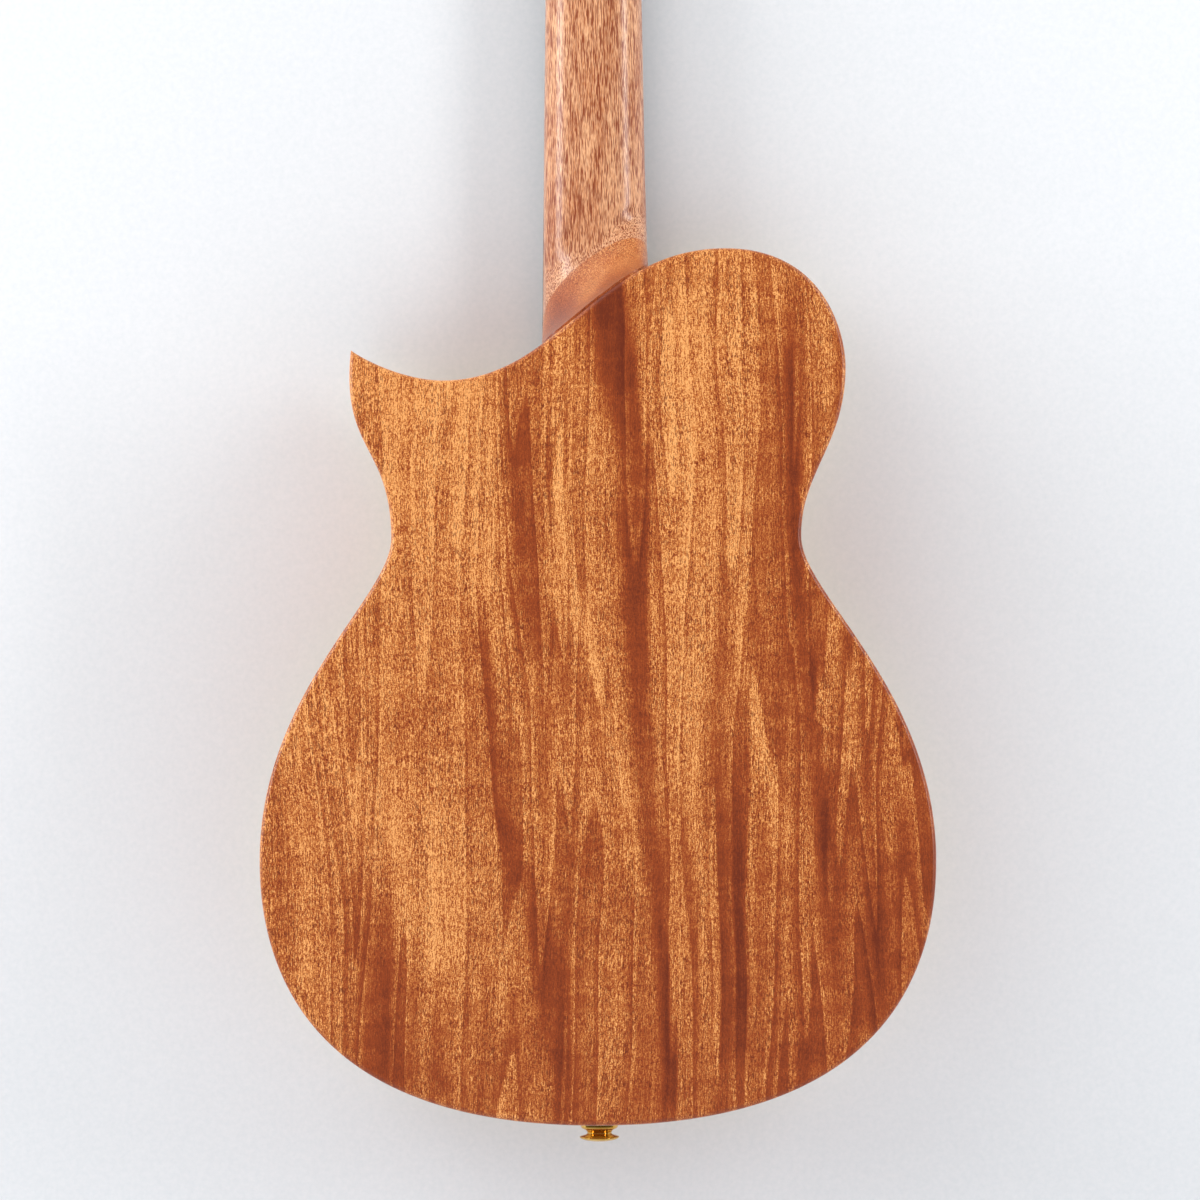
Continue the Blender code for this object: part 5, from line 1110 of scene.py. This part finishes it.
for number, (x, reach) in POSTS.items():
    out = math.copysign(1, x)
    post_place = in_head(np.array([[x, 0.0, reach]]))[0]
    worm_place = in_head(np.array([[x, 18.6, reach - 6.7]]))[0]
    forward = tuple(-v for v in HEAD_Y)
    bushing = mesh_of("bushing", [grid(turned(rounded(BUSHING, 0.3))[0].reshape(-1, 48, 3), True)],
                      place=frame_of(post_place, forward, HEAD_X))
    piece(f"tuner_{number}_collar", bushing, GOLD, [f"tuner_{number}_bushing"])
    knob = mesh_of("knob", [turned(np.vstack([KNOB, [(1.8, 20.5)]]), 40, 0.5)], 50,
                   place=frame_of(worm_place, (out, 0, 0), HEAD_Z))
    piece(f"tuner_{number}_knob", knob, BLACK, [f"tuner_{number}_button"],
          f"tuner_{number}_knob")
print("tuners dressed")

# %% Strap button
STRAP = [(7.8, 0.0), (7.8, 4.0), (7.4, 4.7), (5.7, 5.5), (4.9, 6.5), (5.4, 7.3), (8.2, 8.1), (8.2, 8.6),
         (7.4, 9.2), (5.8, 9.7), (4.2, 10.0), (3.8, 9.8), (2.2, 8.2), (2.2, 0.0)]
strap_place = frame_of((0.0, 42.0, TAIL_Z - 0.3), (0, 0, -1), (1, 0, 0))
strap_mesh = mesh_of("strap_button", [turned(rounded(STRAP, 0.45), 64)], 40, strap_place)
piece("strap_button_turned", strap_mesh, GOLD, ["strap_button"])
print("strap button made")

# %% [markdown]
# ## Materials on the CAD pieces that stay
#
# The rest of the CAD model has the right shape, so it keeps its mesh and gets a finished
# material. A Weld and a Bevel modifier break its crisp edges a little, as sandpaper would.

# %% Dress the other CAD nodes
def dress(names, material, edge_mm=0.0):
    for name in names:
        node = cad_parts[name]
        for index in range(len(node.material_slots)):
            node.material_slots[index].link = "OBJECT"
            node.material_slots[index].material = material
        if edge_mm:
            weld = node.modifiers.new("weld", "WELD")
            weld.merge_threshold = 1e-6
            soften(node, edge_mm)


dress(["bridge"], BRIDGE_ROSEWOOD, 0.5)
dress(["nut", "saddle"], BONE, 0.25)
dress(["neck_block", "tail_block", "horn_block"], BLOCK_MAHOGANY)
dress([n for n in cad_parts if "brace" in n], BARE_SPRUCE, 0.8)
dress([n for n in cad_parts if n.startswith("tuner") and n.endswith("_plate")], SATIN_GOLD, 0.25)
dress([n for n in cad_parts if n.endswith(("_post", "_worm"))], GOLD)
dress(["neck_bolt_1", "neck_bolt_2"], STEEL)
dress(["strap_button_screw"], GOLD)
shown = [n for n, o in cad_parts.items() if not o.hide_render]
print(len(shown), "CAD nodes stay:", ", ".join(sorted(shown)))

# %% [markdown]
# ## Stage, light and camera
#
# The photograph looks straight at the back from about two metres, with the light mostly from
# the left, soft and long, and weaker from the right. The wall lies close behind the soundboard
# and catches the soft shadow. It is one-sided, so that the front can be seen too.

# %% Stage
def paint(name, colour):
    material, tree, shader = new_material(name, Roughness=0.9)
    cloth = noise(tree, millimetres(tree, scale=(2, 2, 2)), 3.0, 0.6)
    feed(tree, shader, Base_Color=blend_colour(tree, cloth, colour, "e8e9eb"))
    return material, tree, shader


wall_paint, tree, shader = paint("pale_grey_wall", "d8dde0")
clear = add(tree, "ShaderNodeBsdfTransparent")
mixed = add(tree, "ShaderNodeMixShader", {
    0: add(tree, "ShaderNodeNewGeometry").outputs["Backfacing"], 1: shader.outputs[0], 2: clear.outputs[0],
})
tree.links.new(mixed.outputs[0], tree.nodes["Material Output"].inputs["Surface"])
WALL_Y, FLOOR_Z, REACH = -0.0145, -0.76, 3
WALL = [(-REACH, WALL_Y, FLOOR_Z), (-REACH, WALL_Y, 2), (REACH, WALL_Y, 2), (REACH, WALL_Y, FLOOR_Z)]
FLOOR = [(x, y, FLOOR_Z) for x, y in ((-REACH, -REACH), (REACH, -REACH), (REACH, REACH), (-REACH, REACH))]
for name, corners, material in (
    ("wall", WALL, wall_paint), ("floor", FLOOR, paint("pale_grey_floor", "e6e7ea")[0]),
):
    mesh = bpy.data.meshes.new(name)
    mesh.from_pydata(corners, [], [(0, 1, 2, 3)])
    mesh.materials.append(material)
    made = place_object(mesh.name, mesh)
bpy.data.objects["wall"].visible_shadow = False
bpy.data.objects["wall"].visible_diffuse = False
bpy.data.objects["floor"].visible_glossy = False
print("wall faces", tuple(bpy.data.meshes["wall"].polygons[0].normal))

# %% Light
def soft_light(name, place, target, size, watts):
    """A large area lamp that looks at a point; its size in metres sets how soft its shadow is."""
    lamp = bpy.data.lights.new(name, "AREA")
    lamp.shape, lamp.size, lamp.size_y, lamp.energy = "RECTANGLE", size[0], size[1], watts
    made = place_object(name, lamp)
    made.location = place
    made.rotation_mode = "QUATERNION"
    made.rotation_quaternion = (Vector(target) - Vector(place)).to_track_quat("-Z", "Y")
    made.visible_camera = False
    return made


middle = (0.0, 0.05, -0.42)
soft_light("left_softbox", (1.6, 0.62, 0.4), middle, (0.7, 1.8), 24)
soft_light("right_softbox", (-1.3, 0.8, 0.2), middle, (0.34, 1.6), 13)
fills = [soft_light("front_fill", (0.3, -2.2, 0.5), middle, (1.6, 1.6), 6),
         soft_light("camera_side_fill", (1.0, 1.6, 0.8), middle, (1.4, 1.4), 7.8)]
for lamp in fills:
    lamp.visible_glossy = False

world = bpy.data.worlds.new("pale_room")
world.use_nodes = True
bpy.context.scene.world = world
tree = world.node_tree
background = tree.nodes["Background"]
path = add(tree, "ShaderNodeLightPath")
background.inputs["Color"].default_value = linear("f2f3f5")
# A mirror sees a dark room behind the camera, a pale one on the other side and a pale floor
way = add(tree, "ShaderNodeSeparateXYZ", {0: add(tree, "ShaderNodeTexCoord").outputs["Generated"]}).outputs
mirrored = spread(tree, way[1], -0.5, 0.5, 0.45, 0.12)
mirrored = calc(tree, "ADD", mirrored, spread(tree, way[2], -0.55, -0.2, 0.4, 0.0))
around = calc(tree, "MULTIPLY", spread(tree, way[2], -1.0, 1.0, 0.55, 1.0),
              spread(tree, way[1], 0.2, 1.0, 1.0, 0.45))
seen = add(tree, "ShaderNodeMix", {0: path.outputs["Is Camera Ray"], 2: around, 3: 0.85}).outputs[0]
strength = add(tree, "ShaderNodeMix", {0: path.outputs["Is Glossy Ray"], 2: seen, 3: mirrored}).outputs[0]
tree.links.new(strength, background.inputs["Strength"])
bpy.context.scene.view_settings.view_transform = "Standard"
print("lights set")

# %% Camera
camera = place_object("camera", bpy.data.cameras.new("camera"))
bpy.context.scene.camera = camera
# A lens that shows 488.4 mm of the back, from 2.1 m in front of it
SENSOR, CAMERA_DISTANCE, FIELD = 36.0, 2100, 488.4
camera.data.sensor_width, camera.data.lens = SENSOR, SENSOR * CAMERA_DISTANCE / FIELD
camera.location = (-0.0014, 2.178, -0.4196)
camera.rotation_mode = "XYZ"
camera.rotation_euler = (math.pi / 2, math.radians(0.3), math.pi)
print("camera looks along -Y from", tuple(round(v, 3) for v in camera.location))
